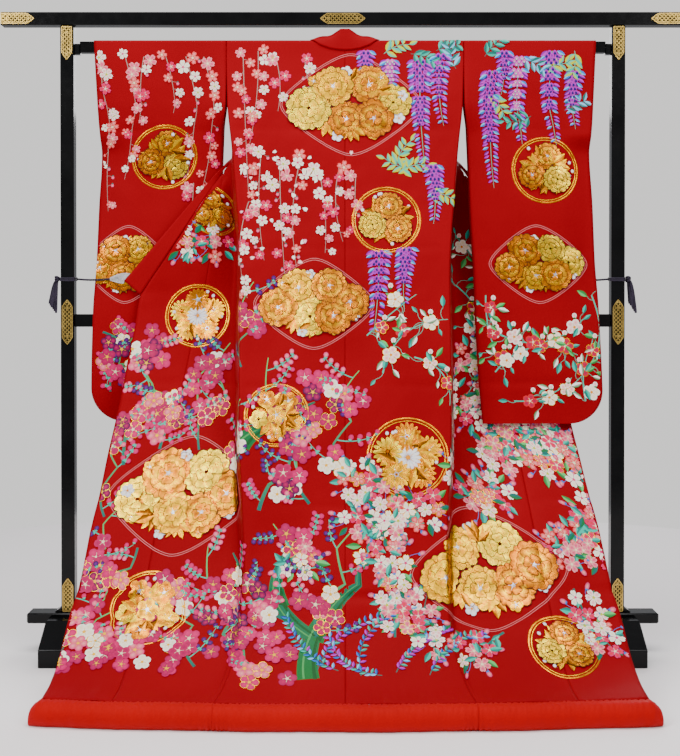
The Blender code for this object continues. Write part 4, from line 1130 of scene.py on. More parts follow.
def rounded_diamond(at, half_wide, half_tall):
    corners = np.array([half_wide, 1j * half_tall, -half_wide, -1j * half_tall])
    for _ in range(4):
        after = np.roll(corners, -1)
        share = 0.16 if len(corners) == 4 else 0.25
        first = corners + (after - corners) * share
        second = after + (corners - after) * share
        corners = np.stack([first, second], 1).ravel()
    path = []
    for a, b in zip(corners, np.roll(corners, -1)):
        count = max(int(abs(b - a) / 0.01), 1)
        path.append(a + (b - a) * np.arange(count) / count)
    return at + np.concatenate(path)


def lozenge(work, at, half_wide, half_tall, chance):
    """A double thin line in a rounded diamond round a bank of gold peonies and leaves."""
    for shrink in (0.0, 0.006):
        path = rounded_diamond(at, 1.12 * half_wide - shrink, 1.22 * half_tall - shrink)
        line(work, path, 0.0014, LINE_PINK, 0.0003, closed=True)
    size = half_tall
    for number in range(8):
        way = tilted(45 * number + chance.uniform(-10, 10))
        reach = complex(way.real * half_wide * 0.62, way.imag * half_tall * 0.62)
        gold_leaf_spray(work, at + 0.72 * reach, way * 0.36 * size, chance, 5)
    for number, x in enumerate((-0.56, 0.56, -0.24, 0.24, -0.06, 0.3)):
        y = (-0.08, 0.04, 0.36, 0.4, -0.3, -0.28)[number]
        spot = at + complex(x * half_wide, y * half_tall)
        peony(work, spot, size * chance.uniform(0.37, 0.47), chance)
    for number in range(9):
        way = tilted(40 * number + 15)
        reach = complex(way.real * half_wide * 0.7, way.imag * half_tall * 0.66)
        colours = ((SILVER, WHITE, GOLD), (GOLD_LIGHT, GOLD, SILVER))[number % 2]
        kind = "thread" if number % 2 == 0 else "gold"
        flower(work, at + reach, size * 0.115, "round", 5, colours, kind)


def trunk(work, spots, widths):
    """A broad stylised trunk, deep green with a lighter side."""
    path = np.concatenate([bend(a, b, 0.06, 9)[:-1] for a, b in zip(spots, spots[1:])] + [[spots[-1]]])
    share = np.linspace(0, 1, len(path))
    width = np.interp(share, np.linspace(0, 1, len(widths)), widths)
    colour = GREEN * (1 - share[:, None]) + TEAL * share[:, None]
    line(work, path, width, colour, 0.0001)
    line(work, path + 0.3 * width, width * 0.16, GREEN * 0.55, 0.0004)
    line(work, path - 0.2 * width, width * 0.1, PALE_GREEN * 0.6, 0.0004)


# Finishes


class Finish:
    """A Principled material, its plain values set by socket name and its patterns fed to it."""

    def __init__(self, name, **sockets):
        self.material = bpy.data.materials.new(name)
        self.material.use_nodes = True
        self.tree = self.material.node_tree
        self.shader = self.tree.nodes["Principled BSDF"]
        self.relief = None
        for socket, value in sockets.items():
            title = socket.replace("_", " ").title().replace("Ior", "IOR")
            self.shader.inputs[title].default_value = value

    def node(self, kind, **values):
        node = self.tree.nodes.new(kind)
        for name, value in values.items():
            if hasattr(node, name):
                setattr(node, name, value)
            else:
                node.inputs[name.replace("_", " ").title()].default_value = value
        return node

    def link(self, start, end):
        self.tree.links.new(start, end)

    def pattern(self, kind, **values):
        """A pattern in the object's own metres."""
        place = self.node("ShaderNodeTexCoord")
        made = self.node(kind, **values)
        self.link(place.outputs["Object"], made.inputs["Vector"])
        return made.outputs["Fac"]

    def noise(self, scale, detail=3.0):
        return self.pattern("ShaderNodeTexNoise", scale=scale, detail=detail)

    def spread(self, value, low=0.0, high=1.0):
        """Maps a noise from about 0.3 to 0.7 onto a range."""
        reach = self.node("ShaderNodeMapRange", from_min=0.3, from_max=0.7, to_min=low, to_max=high)
        self.link(value, reach.inputs["Value"])
        return reach.outputs["Result"]

    def two_tones(self, factor, first, second):
        """Lays the base colour between two colours."""
        mix = self.node("ShaderNodeMix", data_type="RGBA")
        self.link(factor, mix.inputs[0])
        mix.inputs[6].default_value = (*first, 1.0)
        mix.inputs[7].default_value = (*second, 1.0)
        self.link(mix.outputs[2], self.shader.inputs["Base Color"])

    def rough(self, noise, low, high):
        self.link(self.spread(noise, low, high), self.shader.inputs["Roughness"])

    def bump(self, height, distance, strength):
        """Adds a relief on top of the ones before it."""
        bump = self.node("ShaderNodeBump", distance=distance, strength=strength)
        self.link(height, bump.inputs["Height"])
        if self.relief is not None:
            self.link(self.relief, bump.inputs["Normal"])
        self.relief = bump.outputs["Normal"]
        self.link(self.relief, self.shader.inputs["Normal"])


def silk(name, light, deep, roughness, sheen, crepe):
    """Crepe silk: two close reds, uneven threads and a soft sheen."""
    finish = Finish(
        name, sheen_weight=sheen, sheen_roughness=0.45, specular_ior_level=0.1,
        specular_tint=(1.0, 0.16, 0.14, 1.0), sheen_tint=(1.0, 0.1, 0.09, 1.0),
    )
    finish.two_tones(finish.spread(finish.noise(3.5, 2.0)), light, deep)
    finish.rough(finish.noise(260.0, 2.0), roughness - 0.06, roughness + 0.06)
    threads = finish.pattern(
        "ShaderNodeTexWave", scale=420.0, distortion=2.5, detail_scale=40.0, bands_direction="Z",
    )
    finish.bump(threads, 0.00008, crepe)
    finish.bump(finish.noise(900.0, 2.0), 0.00012, crepe)
    return finish.material


def thread_finish(name, metallic, roughness, relief_depth, relief_scale):
    """Embroidery: each motif's own colour, with the ridges of its threads or creases of its foil."""
    finish = Finish(
        name, metallic=metallic, sheen_weight=0.0 if metallic else 0.04,
        specular_ior_level=0.5 if metallic else 0.18,
    )
    colour = finish.node("ShaderNodeAttribute", attribute_name="tint")
    uneven = finish.noise(relief_scale, 4.0)
    scaled = finish.node("ShaderNodeVectorMath", operation="SCALE")
    finish.link(colour.outputs["Color"], scaled.inputs[0])
    shade = finish.spread(uneven, 0.5 if metallic else 0.8, 1.4 if metallic else 1.02)
    finish.link(shade, scaled.inputs["Scale"])
    finish.link(scaled.outputs["Vector"], finish.shader.inputs["Base Color"])
    finish.rough(uneven, roughness + 0.1, roughness - 0.06)
    ridges = finish.pattern("ShaderNodeTexWave", scale=330.0, distortion=3.0, detail_scale=20.0)
    finish.bump(ridges, 0.00012, 0.5)
    finish.bump(uneven, relief_depth, 0.6)
    return finish.material


def lacquer(colour, roughness):
    """Polished black lacquer with the faint unevenness of hand rubbing."""
    finish = Finish("black_lacquer_polished", coat_weight=0.12, coat_roughness=0.08, specular_ior_level=0.1)
    broad = finish.noise(9.0, 4.0)
    finish.two_tones(finish.spread(broad), colour, [1.7 * value + 0.002 for value in colour])
    finish.rough(finish.noise(60.0, 5.0), roughness, roughness + 0.1)
    finish.bump(broad, 0.0004, 0.15)
    return finish.material


def gilt_metal(colour, name="gilt_engraved", dark=0.55):
    """Satin gilt, mottled darker at random; the engraving's low ground is made from it in a darker colour."""
    finish = Finish(name, metallic=1.0)
    finish.two_tones(finish.spread(finish.noise(45.0, 5.0)), colour, [dark * value for value in colour])
    fine = finish.noise(700.0, 3.0)
    finish.rough(fine, 0.24, 0.42)
    finish.bump(fine, 0.0001, 0.35)
    return finish.material


def ribbon_finish(colour):
    """Dark silk ribbon with fine cross ribs."""
    finish = Finish(
        "purple_ribbon", sheen_weight=0.08, sheen_roughness=0.4, specular_ior_level=0.2, roughness=0.55,
    )
    light = [1.9 * value + 0.002 for value in colour]
    finish.two_tones(finish.spread(finish.noise(120.0, 3.0)), colour, light)
    ribs = finish.pattern("ShaderNodeTexWave", scale=260.0, distortion=1.0, bands_direction="Z")
    finish.bump(ribs, 0.0002, 0.6)
    return finish.material


def clear_finish():
    """Clear moulded plastic with a slight frosting, its colour mottled from white to grey as painted shade.
    """
    finish = Finish("clear_moulding", transmission_weight=0.55, ior=1.46)
    frost_and_shade = finish.noise(90.0, 3.0)
    # Painted shade: grey patches laid into the colour by the same noise that varies the frosting's roughness
    finish.two_tones(frost_and_shade, (1.0, 1.0, 1.0), (0.62, 0.65, 0.68))
    finish.rough(frost_and_shade, 0.12, 0.3)
    return finish.material


MATERIALS = {}


def finish_of(name):
    """One of the robe's or the stand's finishes, made when it is first asked for."""
    if name in MATERIALS:
        return MATERIALS[name]
    robe = bpy.context.scene.uchikake_robe
    stand = bpy.context.scene.uchikake_stand
    red = tuple(robe.silk_red)
    lining = tuple(robe.lining_red)
    ground = tuple(0.05 * v for v in stand.gilt)
    makers = {
        "silk": lambda: silk("red_silk_crepe", red, [0.86 * v for v in red], 0.5, 0.1, 0.5),
        "lining": lambda: silk("red_lining_silk", lining, [0.88 * v for v in lining], 0.48, 0.12, 0.35),
        "thread": lambda: thread_finish("silk_embroidery", 0.0, 0.46, 0.0002, 700.0),
        "gold": lambda: thread_finish("gold_foil_and_thread", 0.94, 0.26, 0.0009, 62.0),
        "lacquer": lambda: lacquer(tuple(stand.lacquer_black), 0.13),
        "gilt": lambda: gilt_metal(tuple(stand.gilt)),
        "gilt_ground": lambda: gilt_metal(ground, "gilt_engraved_ground", 0.7),
        "ribbon": lambda: ribbon_finish(tuple(stand.ribbon)),
        "clear": clear_finish,
    }
    MATERIALS[name] = makers[name]()
    return MATERIALS[name]


# Making pieces


def mesh_piece(name, points, faces, materials, smooth=True):
    """A mesh object from arrays of points and faces, riding on the stand."""
    mesh = bpy.data.meshes.new(name)
    mesh.from_pydata([tuple(point) for point in points], [], [tuple(face) for face in faces])
    for material in materials:
        mesh.materials.append(material)
    if smooth:
        mesh.shade_smooth()
    obj = bpy.data.objects.new(name, mesh)
    bpy.context.scene.collection.objects.link(obj)
    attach(obj, "root")
    return obj


def cloth_piece(name, grid, thickness, node, outwards):
    """A panel of cloth: its grid thickened both ways, silk on the side that outwards names."""
    rows, columns = grid.shape[:2]
    index = np.arange(rows * columns).reshape(rows, columns)
    faces = np.stack([index[:-1, :-1], index[:-1, 1:], index[1:, 1:], index[1:, :-1]], -1)
    flat = faces.reshape(-1, 4)
    points = grid.reshape(-1, 3)
    middle = len(flat) // 2
    corners = points[flat[middle]]
    way = np.cross(corners[1] - corners[0], corners[2] - corners[0])
    if outwards * (way * face_ways(grid)[middle // (columns - 1), middle % (columns - 1)]).sum() < 0:
        flat = flat[:, ::-1]
    obj = mesh_piece(name, points, flat, [finish_of("silk"), finish_of("lining")])
    wall = obj.modifiers.new("wall", "SOLIDIFY")
    wall.thickness = thickness
    wall.offset = 0.0
    wall.material_offset = 1
    wall.material_offset_rim = 0
    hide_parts(node)
    CLOTHS[node] = obj


def settled(grid, lengths, seed, depth, hand, hold_first=True, hold_last=True, seams=(0, 0)):
    """The grid with creases, unevenness and seam valleys, held still along its edges that are sewn."""
    along = np.linalg.norm(np.diff(grid, axis=1), axis=-1)
    along = np.concatenate([np.zeros((len(grid), 1)), np.cumsum(along, axis=1)], axis=1)
    held = np.ones_like(along)
    if hold_first:
        held = held * ease(along / HELD_EDGE)
    if hold_last:
        held = held * ease((along[:, -1:] - along) / HELD_EDGE)
    length = np.broadcast_to(lengths[:, None], along.shape)
    from_rod = ease((length - 0.05) / 0.1)
    shift = relief(GARMENT_X + grid[..., 0], length, seed, depth) * held * from_rod
    shift = shift - SEAM_VALLEY * seams[0] * np.exp(-((along / SEAM_WIDE) ** 2)) * from_rod
    shift = shift - SEAM_VALLEY * seams[1] * np.exp(-(((along[:, -1:] - along) / SEAM_WIDE) ** 2)) * from_rod
    sign = 1.0 if hand > 0 else -1.0
    return grid + sign * face_ways(grid) * shift[..., None]


def close_rings(faces, first, rings, sides):
    """Adds the walls between rings of points that follow one another, and both ends."""
    for ring in range(rings - 1):
        a = first + ring * sides
        for i in range(sides):
            j = (i + 1) % sides
            faces.append((a + i, a + j, a + sides + j, a + sides + i))
    faces.append(tuple(first + i for i in reversed(range(sides))))
    faces.append(tuple(first + (rings - 1) * sides + i for i in range(sides)))


CLOTHS = {}
SKINS = {}
BODY_PANELS = [
    "body_left_back", "body_left_front", "overlap_left",
    "body_right_back", "body_right_front", "overlap_right",
]


def make_body():
    lengths = body_rows()
    depth = bpy.context.scene.uchikake_robe.crease_depth
    even = np.sort(np.append(np.linspace(0, 1, 41), (0.0125, 0.9875)))
    clear = np.abs(even[:, None] - np.array(BACK_COLUMNS)).min(axis=1) > LEAST_COLUMN_STEP
    across_back = np.sort(np.concatenate([BACK_COLUMNS, even[clear]]))[None, :]
    across_front = np.sort(np.append(np.linspace(0, 1, 45), (0.011, 0.989)))[None, :]
    across_overlap = np.sort(np.append(np.linspace(0, 1, 19), 0.02))[None, :]
    first_overlap = int(np.searchsorted(lengths, length_at(OVERLAP_START)))
    slit = int(np.searchsorted(lengths, length_at(SLIT_END)))
    tables = []
    for hand, name in HANDS:
        rows = lengths[:, None]
        back = settled(back_grid(hand, across_back, rows), lengths, 3, depth, hand, False, True, (1, 1))
        front = settled(front_grid(hand, across_front, rows), lengths, 8, depth, hand, seams=(1, 1))
        lower = lengths[first_overlap:]
        lower[0] = length_at(OVERLAP_START)
        overlap = overlap_grid(hand, across_overlap, lower[:, None])
        overlap = settled(overlap, lower, 12, depth, hand, True, False, (1, 0))
        cloth_piece(f"silk_back_{name}", back, CLOTH, f"body_{name}_back", hand)
        cloth_piece(f"silk_front_{name}", front, CLOTH, f"body_{name}_front", hand)
        cloth_piece(f"silk_overlap_{name}", overlap, CLOTH, f"overlap_{name}", hand)
        first = 0 if hand < 0 else 3
        padded_overlap = np.concatenate([np.repeat(overlap[:1], first_overlap, axis=0), overlap])
        strips = [(first, back, 0), (first + 1, front, slit), (first + 2, padded_overlap, first_overlap + 2)]
        tables.append(unroll(lengths, strips, hand))
    (left, left_panels, left_reach), (right, right_panels, _) = tables
    points = np.concatenate([left[:, :-1], right], axis=1)
    panels = np.concatenate([left_panels[:, :-1], right_panels], axis=1)
    SKINS["body"] = Skin(lengths, points, face_ways(points), panels, -left_reach)


def make_sleeves():
    lengths = sleeve_rows()
    depth = bpy.context.scene.uchikake_robe.crease_depth
    across = np.linspace(0, 1, 37)[None, :]
    for hand, name in HANDS:
        for layer, sign in (("back", 1.0), ("front", -1.0)):
            grid = sleeve_grid(hand, layer, across, lengths[:, None])
            grid = settled(grid, lengths, 21, 0.7 * depth, hand)
            node = f"sleeve_{name}_{layer}"
            cloth_piece(f"silk_sleeve_{name}_{layer}", grid, CLOTH, node, sign * hand)
            points, panels, reach = unroll(lengths, [(0, grid, 0)], hand)
            start = -reach if hand < 0 else 0.0
            SKINS[node] = Skin(lengths, points, sign * face_ways(points), panels, start)


def make_collar():
    seam_heights = np.linspace(COLLAR_START, COLLAR_END, 120)[:, None]
    across = np.linspace(0, 1, 9)[None, :]
    for hand, name in HANDS:
        grid = collar_grid(hand, across, seam_heights)
        cloth_piece(f"silk_collar_{name}", grid, COLLAR_THICK, f"collar_{name}", hand)
    around = np.linspace(-1, 1, 97)[:, None]
    grid = neck_grid(np.linspace(0, 1, 13)[None, :], around)
    cloth_piece("silk_collar_neck", grid, COLLAR_THICK, "collar_neck", 1.0)


def roll_ring(x, sides):
    """One section of the padded hem roll, with the uneven gathers of its lining."""
    tip = math.sqrt(min(max(ROLL_HALF_LENGTH - abs(x), 0.0) / ROLL_TIP_LONG, 1.0))
    gather = 1.0 + 0.035 * math.sin(83.0 * x) + 0.02 * math.sin(197.0 * x)
    tall = ROLL_TALL * (ROLL_TIP_TALL + (1.0 - ROLL_TIP_TALL) * tip)
    deep = ROLL_DEEP * (ROLL_TIP_DEEP + (1.0 - ROLL_TIP_DEEP) * tip) * gather
    line_forward = ROLL_FORWARD - ROLL_BOW * (x / ROLL_HALF_LENGTH) ** 2 + 0.002 * math.sin(21.0 * x)
    # The lining's deeper creases where the wings turn into the back
    near_turn = math.exp(-(((abs(x) - ROLL_TURN_AT) / ROLL_TURN_WIDE) ** 2))
    crease = -ROLL_CREASE * near_turn * (0.5 + 0.5 * math.sin(560.0 * x + 2.0 * math.sin(70.0 * x)))
    ring = []
    for step in range(sides):
        angle = 2 * math.pi * (step + 0.5) / sides
        upper = max(math.sin(angle), 0.0)
        pucker = ROLL_PUCKER * math.sin(520.0 * x + 2.2 * math.sin(61.0 * x) + 2.0 * angle)
        pucker += 0.0007 * math.sin(1130.0 * x + 3.0 * math.sin(29.0 * x))
        swell = 1.0 + pucker * upper / (0.5 * ROLL_TALL) + crease * (1.0 - 0.9 * upper)
        y = math.cos(angle) * deep / 2 * swell
        z = tall * (0.5 + 0.58 * math.sin(angle) * swell)
        ring.append((GARMENT_X + x, POST_LINE_Y - line_forward + y, min(max(z, 0.0), tall * ROLL_CROWN)))
    return ring


def make_hem_roll():
    side_seam = BACK_EDGE[-1].side
    stretches = {
        "left": (-ROLL_HALF_LENGTH, -side_seam - SEAM_HALF_GAP),
        "back": (-side_seam + SEAM_HALF_GAP, side_seam - SEAM_HALF_GAP),
        "right": (side_seam + SEAM_HALF_GAP, ROLL_HALF_LENGTH),
    }
    for name, (start, end) in stretches.items():
        places = list(np.linspace(start, end, int((end - start) / ROLL_RING_STEP) + 1))
        for tip_end in (start, end):
            if abs(tip_end) == ROLL_HALF_LENGTH:
                inwards = -math.copysign(1.0, tip_end)
                places += [tip_end + inwards * ROLL_TIP_LONG * share for share in (0.01, 0.04)]
        points = []
        for x in sorted(places):
            points += roll_ring(x, ROLL_SIDES)
        faces = []
        close_rings(faces, 0, len(places), ROLL_SIDES)
        roll = mesh_piece(f"padded_hem_{name}", points, faces, [finish_of("lining")])
        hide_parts(f"hem_roll_{name}")


# The embroidery of the body, its places as x across and z up in metres
LOZENGES = [
    (0.02, 1.462, 0.2, 0.138), (-0.075, 0.935, 0.165, 0.118), (-0.405, 0.455, 0.205, 0.15),
    (0.345, 0.29, 0.225, 0.15),
]
ROUNDELS = [
    (0.115, 1.155, 0.088, "peony"), (-0.385, 0.905, 0.085, "chrysanthemum"),
    (-0.165, 0.655, 0.08, "plum"), (0.16, 0.56, 0.1, "chrysanthemum"), (-0.47, 0.205, 0.092, "plum"),
    (0.52, 0.13, 0.085, "peony"), (-0.35, 1.19, 0.07, "peony"),
]
WEEPING = [
    (-0.265, 1.6, 0.4, 0.02), (-0.225, 1.61, 0.26, -0.02), (-0.18, 1.6, 0.16, 0.01),
    (-0.215, 1.34, 0.3, 0.01), (-0.165, 1.3, 0.34, 0.02), (-0.11, 1.33, 0.3, -0.01),
    (-0.065, 1.3, 0.24, 0.02), (-0.01, 1.29, 0.2, 0.01), (-0.245, 1.2, 0.26, 0.0),
    (-0.1, 1.595, 0.1, 0.02), (0.035, 1.27, 0.14, 0.0),
]
RACEMES = [
    (0.125, 1.59, 0.17, 0.04), (0.205, 1.585, 0.3, 0.056), (0.262, 1.6, 0.2, 0.046),
    (0.24, 1.3, 0.16, 0.04), (0.095, 1.075, 0.22, 0.05), (0.165, 1.085, 0.16, 0.044),
    (0.06, 1.61, 0.11, 0.036),
]
PINNATE = [
    (0.11, 1.6, 20), (0.18, 1.605, -25), (0.25, 1.61, 10), (0.15, 1.285, 12), (0.18, 1.29, 160),
    (0.225, 1.23, -20), (0.14, 1.3, 60), (0.3, 1.56, 100), (0.08, 1.56, -150),
]
PLUM_BRANCHES = [
    (-0.56, 0.52, -0.47, 0.86, 0.009), (-0.47, 0.56, -0.33, 0.79, 0.008),
    (-0.6, 0.4, -0.61, 0.64, 0.006), (-0.37, 0.56, -0.29, 0.83, 0.006),
    (-0.205, 0.43, -0.06, 0.64, 0.01), (-0.08, 0.44, -0.19, 0.8, 0.008),
    (-0.02, 0.52, 0.04, 0.77, 0.006), (-0.24, 0.12, -0.33, 0.34, 0.01),
    (-0.56, 0.1, -0.38, 0.25, 0.008), (-0.06, 0.16, 0.04, 0.4, 0.01), (-0.14, 0.2, -0.25, 0.3, 0.008),
    (-0.51, 0.33, -0.62, 0.2, 0.006), (-0.26, 0.78, -0.23, 0.99, 0.005),
    (-0.1, 0.76, -0.02, 0.7, 0.005), (-0.64, 0.24, -0.56, 0.42, 0.007),
    (-0.42, 0.62, -0.52, 0.76, 0.006), (-0.3, 0.48, -0.26, 0.7, 0.006),
    (-0.34, 0.1, -0.42, 0.26, 0.007), (-0.18, 0.1, -0.27, 0.2, 0.007),
    (-0.66, 0.12, -0.56, 0.19, 0.006), (-0.54, 0.62, -0.44, 0.7, 0.005),
    (-0.03, 0.3, -0.17, 0.4, 0.007),
]
CHERRY_SPRAYS = [
    (0.3, 0.64, 0.56, 0.74, 4), (0.36, 0.56, 0.6, 0.54, 4), (0.25, 0.5, 0.33, 0.7, 3),
    (0.06, 0.38, 0.22, 0.44, 3), (0.12, 0.16, 0.09, 0.33, 3), (0.5, 0.33, 0.64, 0.38, 3),
    (0.24, 0.12, 0.2, 0.24, 2), (0.56, 0.24, 0.64, 0.12, 2), (0.02, 0.46, 0.09, 0.33, 2),
    (0.42, 0.72, 0.33, 0.8, 2), (0.62, 0.48, 0.56, 0.62, 2), (0.4, 0.48, 0.3, 0.44, 2),
    (0.48, 0.64, 0.42, 0.56, 2), (0.66, 0.28, 0.6, 0.42, 2), (0.56, 0.68, 0.48, 0.56, 2),
    (-0.43, 1.06, -0.33, 1.12, 2), (0.38, 0.16, 0.3, 0.11, 1), (0.0, 0.52, 0.12, 0.48, 2),
    (-0.16, 0.3, -0.1, 0.36, 1),
]
CAMELLIAS = [
    (0.06, 0.86, 0.19, 0.96, 2), (0.1, 0.76, 0.27, 0.9, 3), (0.18, 0.8, 0.28, 0.68, 2),
    (0.31, 1.12, 0.35, 0.86, 3), (0.33, 0.9, 0.41, 0.76, 2), (0.3, 0.98, 0.33, 0.7, 2),
]
CLOVERS = [
    (-0.06, 0.105, 0.08, 0.2), (-0.01, 0.1, -0.13, 0.19), (0.12, 0.1, 0.25, 0.17),
    (0.2, 0.095, 0.33, 0.15), (0.04, 0.095, 0.16, 0.215), (0.09, 0.09, -0.03, 0.16),
]
TRUNKS = [
    [(-0.08, 0.082), (-0.07, 0.16), (-0.15, 0.225), (-0.23, 0.26), (-0.27, 0.33)],
    [(-0.07, 0.15), (-0.02, 0.215), (0.04, 0.27), (0.05, 0.34)],
    [(-0.15, 0.215), (-0.16, 0.29), (-0.12, 0.35)],
    [(-0.268, 0.585), (-0.215, 0.615), (-0.14, 0.64), (-0.07, 0.69)],
]
SLEEVE_MOTIFS = {
    "sleeve_left_back": {
        "roundels": [(-0.48, 1.33, 0.086, "peony")],
        "lozenges": [(-0.58, 1.04, 0.125, 0.105)],
        "weeping": [
            (-0.64, 1.6, 0.2, 0.03), (-0.585, 1.605, 0.34, 0.01), (-0.53, 1.6, 0.18, -0.01),
            (-0.475, 1.605, 0.16, 0.02), (-0.42, 1.6, 0.34, 0.01), (-0.37, 1.6, 0.42, -0.01),
            (-0.62, 1.42, 0.24, 0.0), (-0.4, 1.26, 0.16, 0.0),
        ],
        "plums": [(-0.64, 0.86, -0.52, 0.72, 0.006), (-0.62, 0.7, -0.54, 0.88, 0.006),
                  (-0.47, 0.7, -0.44, 0.86, 0.005)],
    },
    "sleeve_right_back": {
        "roundels": [(0.54, 1.29, 0.088, "peony")],
        "lozenges": [(0.52, 1.04, 0.14, 0.105)],
        "racemes": [(0.4, 1.56, 0.32, 0.052), (0.47, 1.6, 0.24, 0.046), (0.56, 1.61, 0.26, 0.05),
                    (0.62, 1.56, 0.16, 0.04), (0.43, 1.61, 0.12, 0.036)],
        "pinnates": [(0.38, 1.6, 40), (0.48, 1.59, -30), (0.54, 1.56, 15), (0.62, 1.61, -100),
                     (0.39, 1.5, -60), (0.59, 1.45, 20), (0.5, 1.44, 190)],
        "camellias": [(0.38, 0.88, 0.64, 0.9, 5), (0.4, 0.76, 0.62, 0.8, 4),
                      (0.45, 0.68, 0.6, 0.74, 3), (0.38, 0.96, 0.43, 0.76, 3),
                      (0.66, 0.96, 0.6, 0.72, 2), (0.64, 0.68, 0.66, 0.84, 2)],
    },
}
HEM_FLOWERS = 62
BODY_MOTIFS = {
    "trunks": TRUNKS, "plums": PLUM_BRANCHES, "cherries": CHERRY_SPRAYS, "camellias": CAMELLIAS,
    "clovers": CLOVERS, "lozenges": LOZENGES, "roundels": ROUNDELS, "pinnates": PINNATE,
    "racemes": RACEMES, "weeping": WEEPING,
}


def draw_family(work, motifs, chance):
    """Draws each kind of motif at its places on one skin, always in the same order."""
    find = work.skin.find
    for path in motifs.get("trunks", []):
        trunk(work, [find(x, z) for x, z in path], (0.052, 0.034, 0.018, 0.004))
    growing = {
        "plums": plum_branch, "cherries": cherry_spray, "camellias": camellia_spray, "clovers": clover_spray,
    }
    for kind, draw in growing.items():
        for x, z, end_x, end_z, *more in motifs.get(kind, []):
            draw(work, find(x, z), find(end_x, end_z), chance, *more)
    # Padded gold stands over the blossoms beside it
    padded = {"lozenges": lozenge, "roundels": roundel}
    hanging = {"pinnates": pinnate_leaf, "racemes": raceme, "weeping": weeping_branch}
    for raised, kinds in ((PADDING, padded), (0.0, hanging)):
        work.raised = raised
        for kind, draw in kinds.items():
            for x, z, *sizes in motifs.get(kind, []):
                draw(work, find(x, z), *sizes, chance)


def embroider_body():
    work = Stitches(SKINS["body"])
    chance = random.Random(11)
    draw_family(work, BODY_MOTIFS, chance)
    find = work.skin.find
    spots = [find(chance.uniform(-0.26, 0.05), chance.uniform(1.02, 1.34)) for _ in range(26)]
    loose_petals(work, spots, chance)
    for _ in range(HEM_FLOWERS):
        x = chance.uniform(-0.68, -0.12)
        at = find(x, chance.uniform(0.085, 0.215))
        colours = chance.choice(PLUM)
        flower(work, at, chance.uniform(0.018, 0.025), "round", 5, colours, tilt=chance.uniform(0, 6))
    return finish_stitches(work, BODY_PANELS)


def embroider_sleeves():
    made = {}
    for node, motifs in SLEEVE_MOTIFS.items():
        for layer in ("back", "front"):
            target = node.replace("_back", f"_{layer}")
            work = Stitches(SKINS[target])
            draw_family(work, motifs, random.Random(23 if "left" in node else 31))
            made.update(finish_stitches(work, [target]))
    return made


def declare_sheets():
    """Works out each panel's kind from its name, and does nothing more with it."""
    for node, obj in CLOTHS.items():
        kind = node.split("_")[-1] if node.startswith("body") else node.split("_")[0]
        kind = "neck" if node == "collar_neck" else kind


# Stand, fittings and ties


def make_stand():
    """The CAD timbers keep their shape in a better finish; the feet get their rounded edges."""
    black = finish_of("lacquer")
    timbers = ["top_beam", "rod", "middle_rail", "base_rail"]
    for name in ("left", "right"):
        timbers += [f"post_{name}", f"rod_bracket_{name}"]
        timbers += [f"post_wedge_{name}_outer", f"post_wedge_{name}_inner"]
    for node in timbers:
        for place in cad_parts[node].material_slots:
            place.material = black
    notch = BASE_DEEP / 2 + FIT_GAP
    outline = [
        (-FOOT_REACH, 0.0), (FOOT_REACH, 0.0), (FOOT_REACH, FOOT_NOSE), (FOOT_FLAT_REACH, FOOT_TOP),
        (notch, FOOT_TOP), (notch, BASE_BOTTOM - FIT_GAP), (-notch, BASE_BOTTOM - FIT_GAP),
        (-notch, FOOT_TOP), (-FOOT_FLAT_REACH, FOOT_TOP), (-FOOT_REACH, FOOT_NOSE),
    ]
    for hand, name in HANDS:
        points = []
        for x in (hand * POST_X - FOOT_WIDE / 2, hand * POST_X + FOOT_WIDE / 2):
            points += [(x, POST_LINE_Y + y, z) for y, z in outline]
        faces = []
        close_rings(faces, 0, 2, len(outline))
        foot = mesh_piece(f"lacquer_foot_{name}", points, faces, [black], smooth=False)
        edge = foot.modifiers.new("rounded edge", "BEVEL")
        edge.width = 0.0026
        edge.segments = 3
        edge.limit_method = "ANGLE"
        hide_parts(f"foot_{name}")


def clip_segment(start, end, outline):
    """The stretch of a straight line inside a convex outline, or None."""
    low, high = 0.0, 1.0
    way = end - start
    for a, b in zip(outline, np.roll(outline, -1)):
        inward = 1j * (b - a)
        rate = (way * inward.conjugate()).real
        room = ((start - a) * inward.conjugate()).real
        if abs(rate) < 1e-12:
            if room < 0:
                return None
        elif rate > 0:
            low = max(low, -room / rate)
        else:
            high = min(high, -room / rate)
    if high - low < 0.02:
        return None
    return start + way * low, start + way * high


def add_slab(points, faces, outline, bottom, top):
    """A flat plate of one outline between two heights, with its top slightly smaller."""
    first = len(points)
    centre = outline.mean()
    rims = ((0.0, bottom), (0.0, top - SLAB_EDGE), (SLAB_EDGE, top))
    for shrink, height in rims:
        for place in outline:
            inner = place - (place - centre) / max(abs(place - centre), 1e-9) * shrink
            points.append((inner.real, inner.imag, height))
    close_rings(faces, first, len(rims), len(outline))


def strip_outline(start, end, width):
    way = (end - start) / abs(end - start) * 1j * width / 2
    return np.array([start - way, end - way, end + way, start + way])


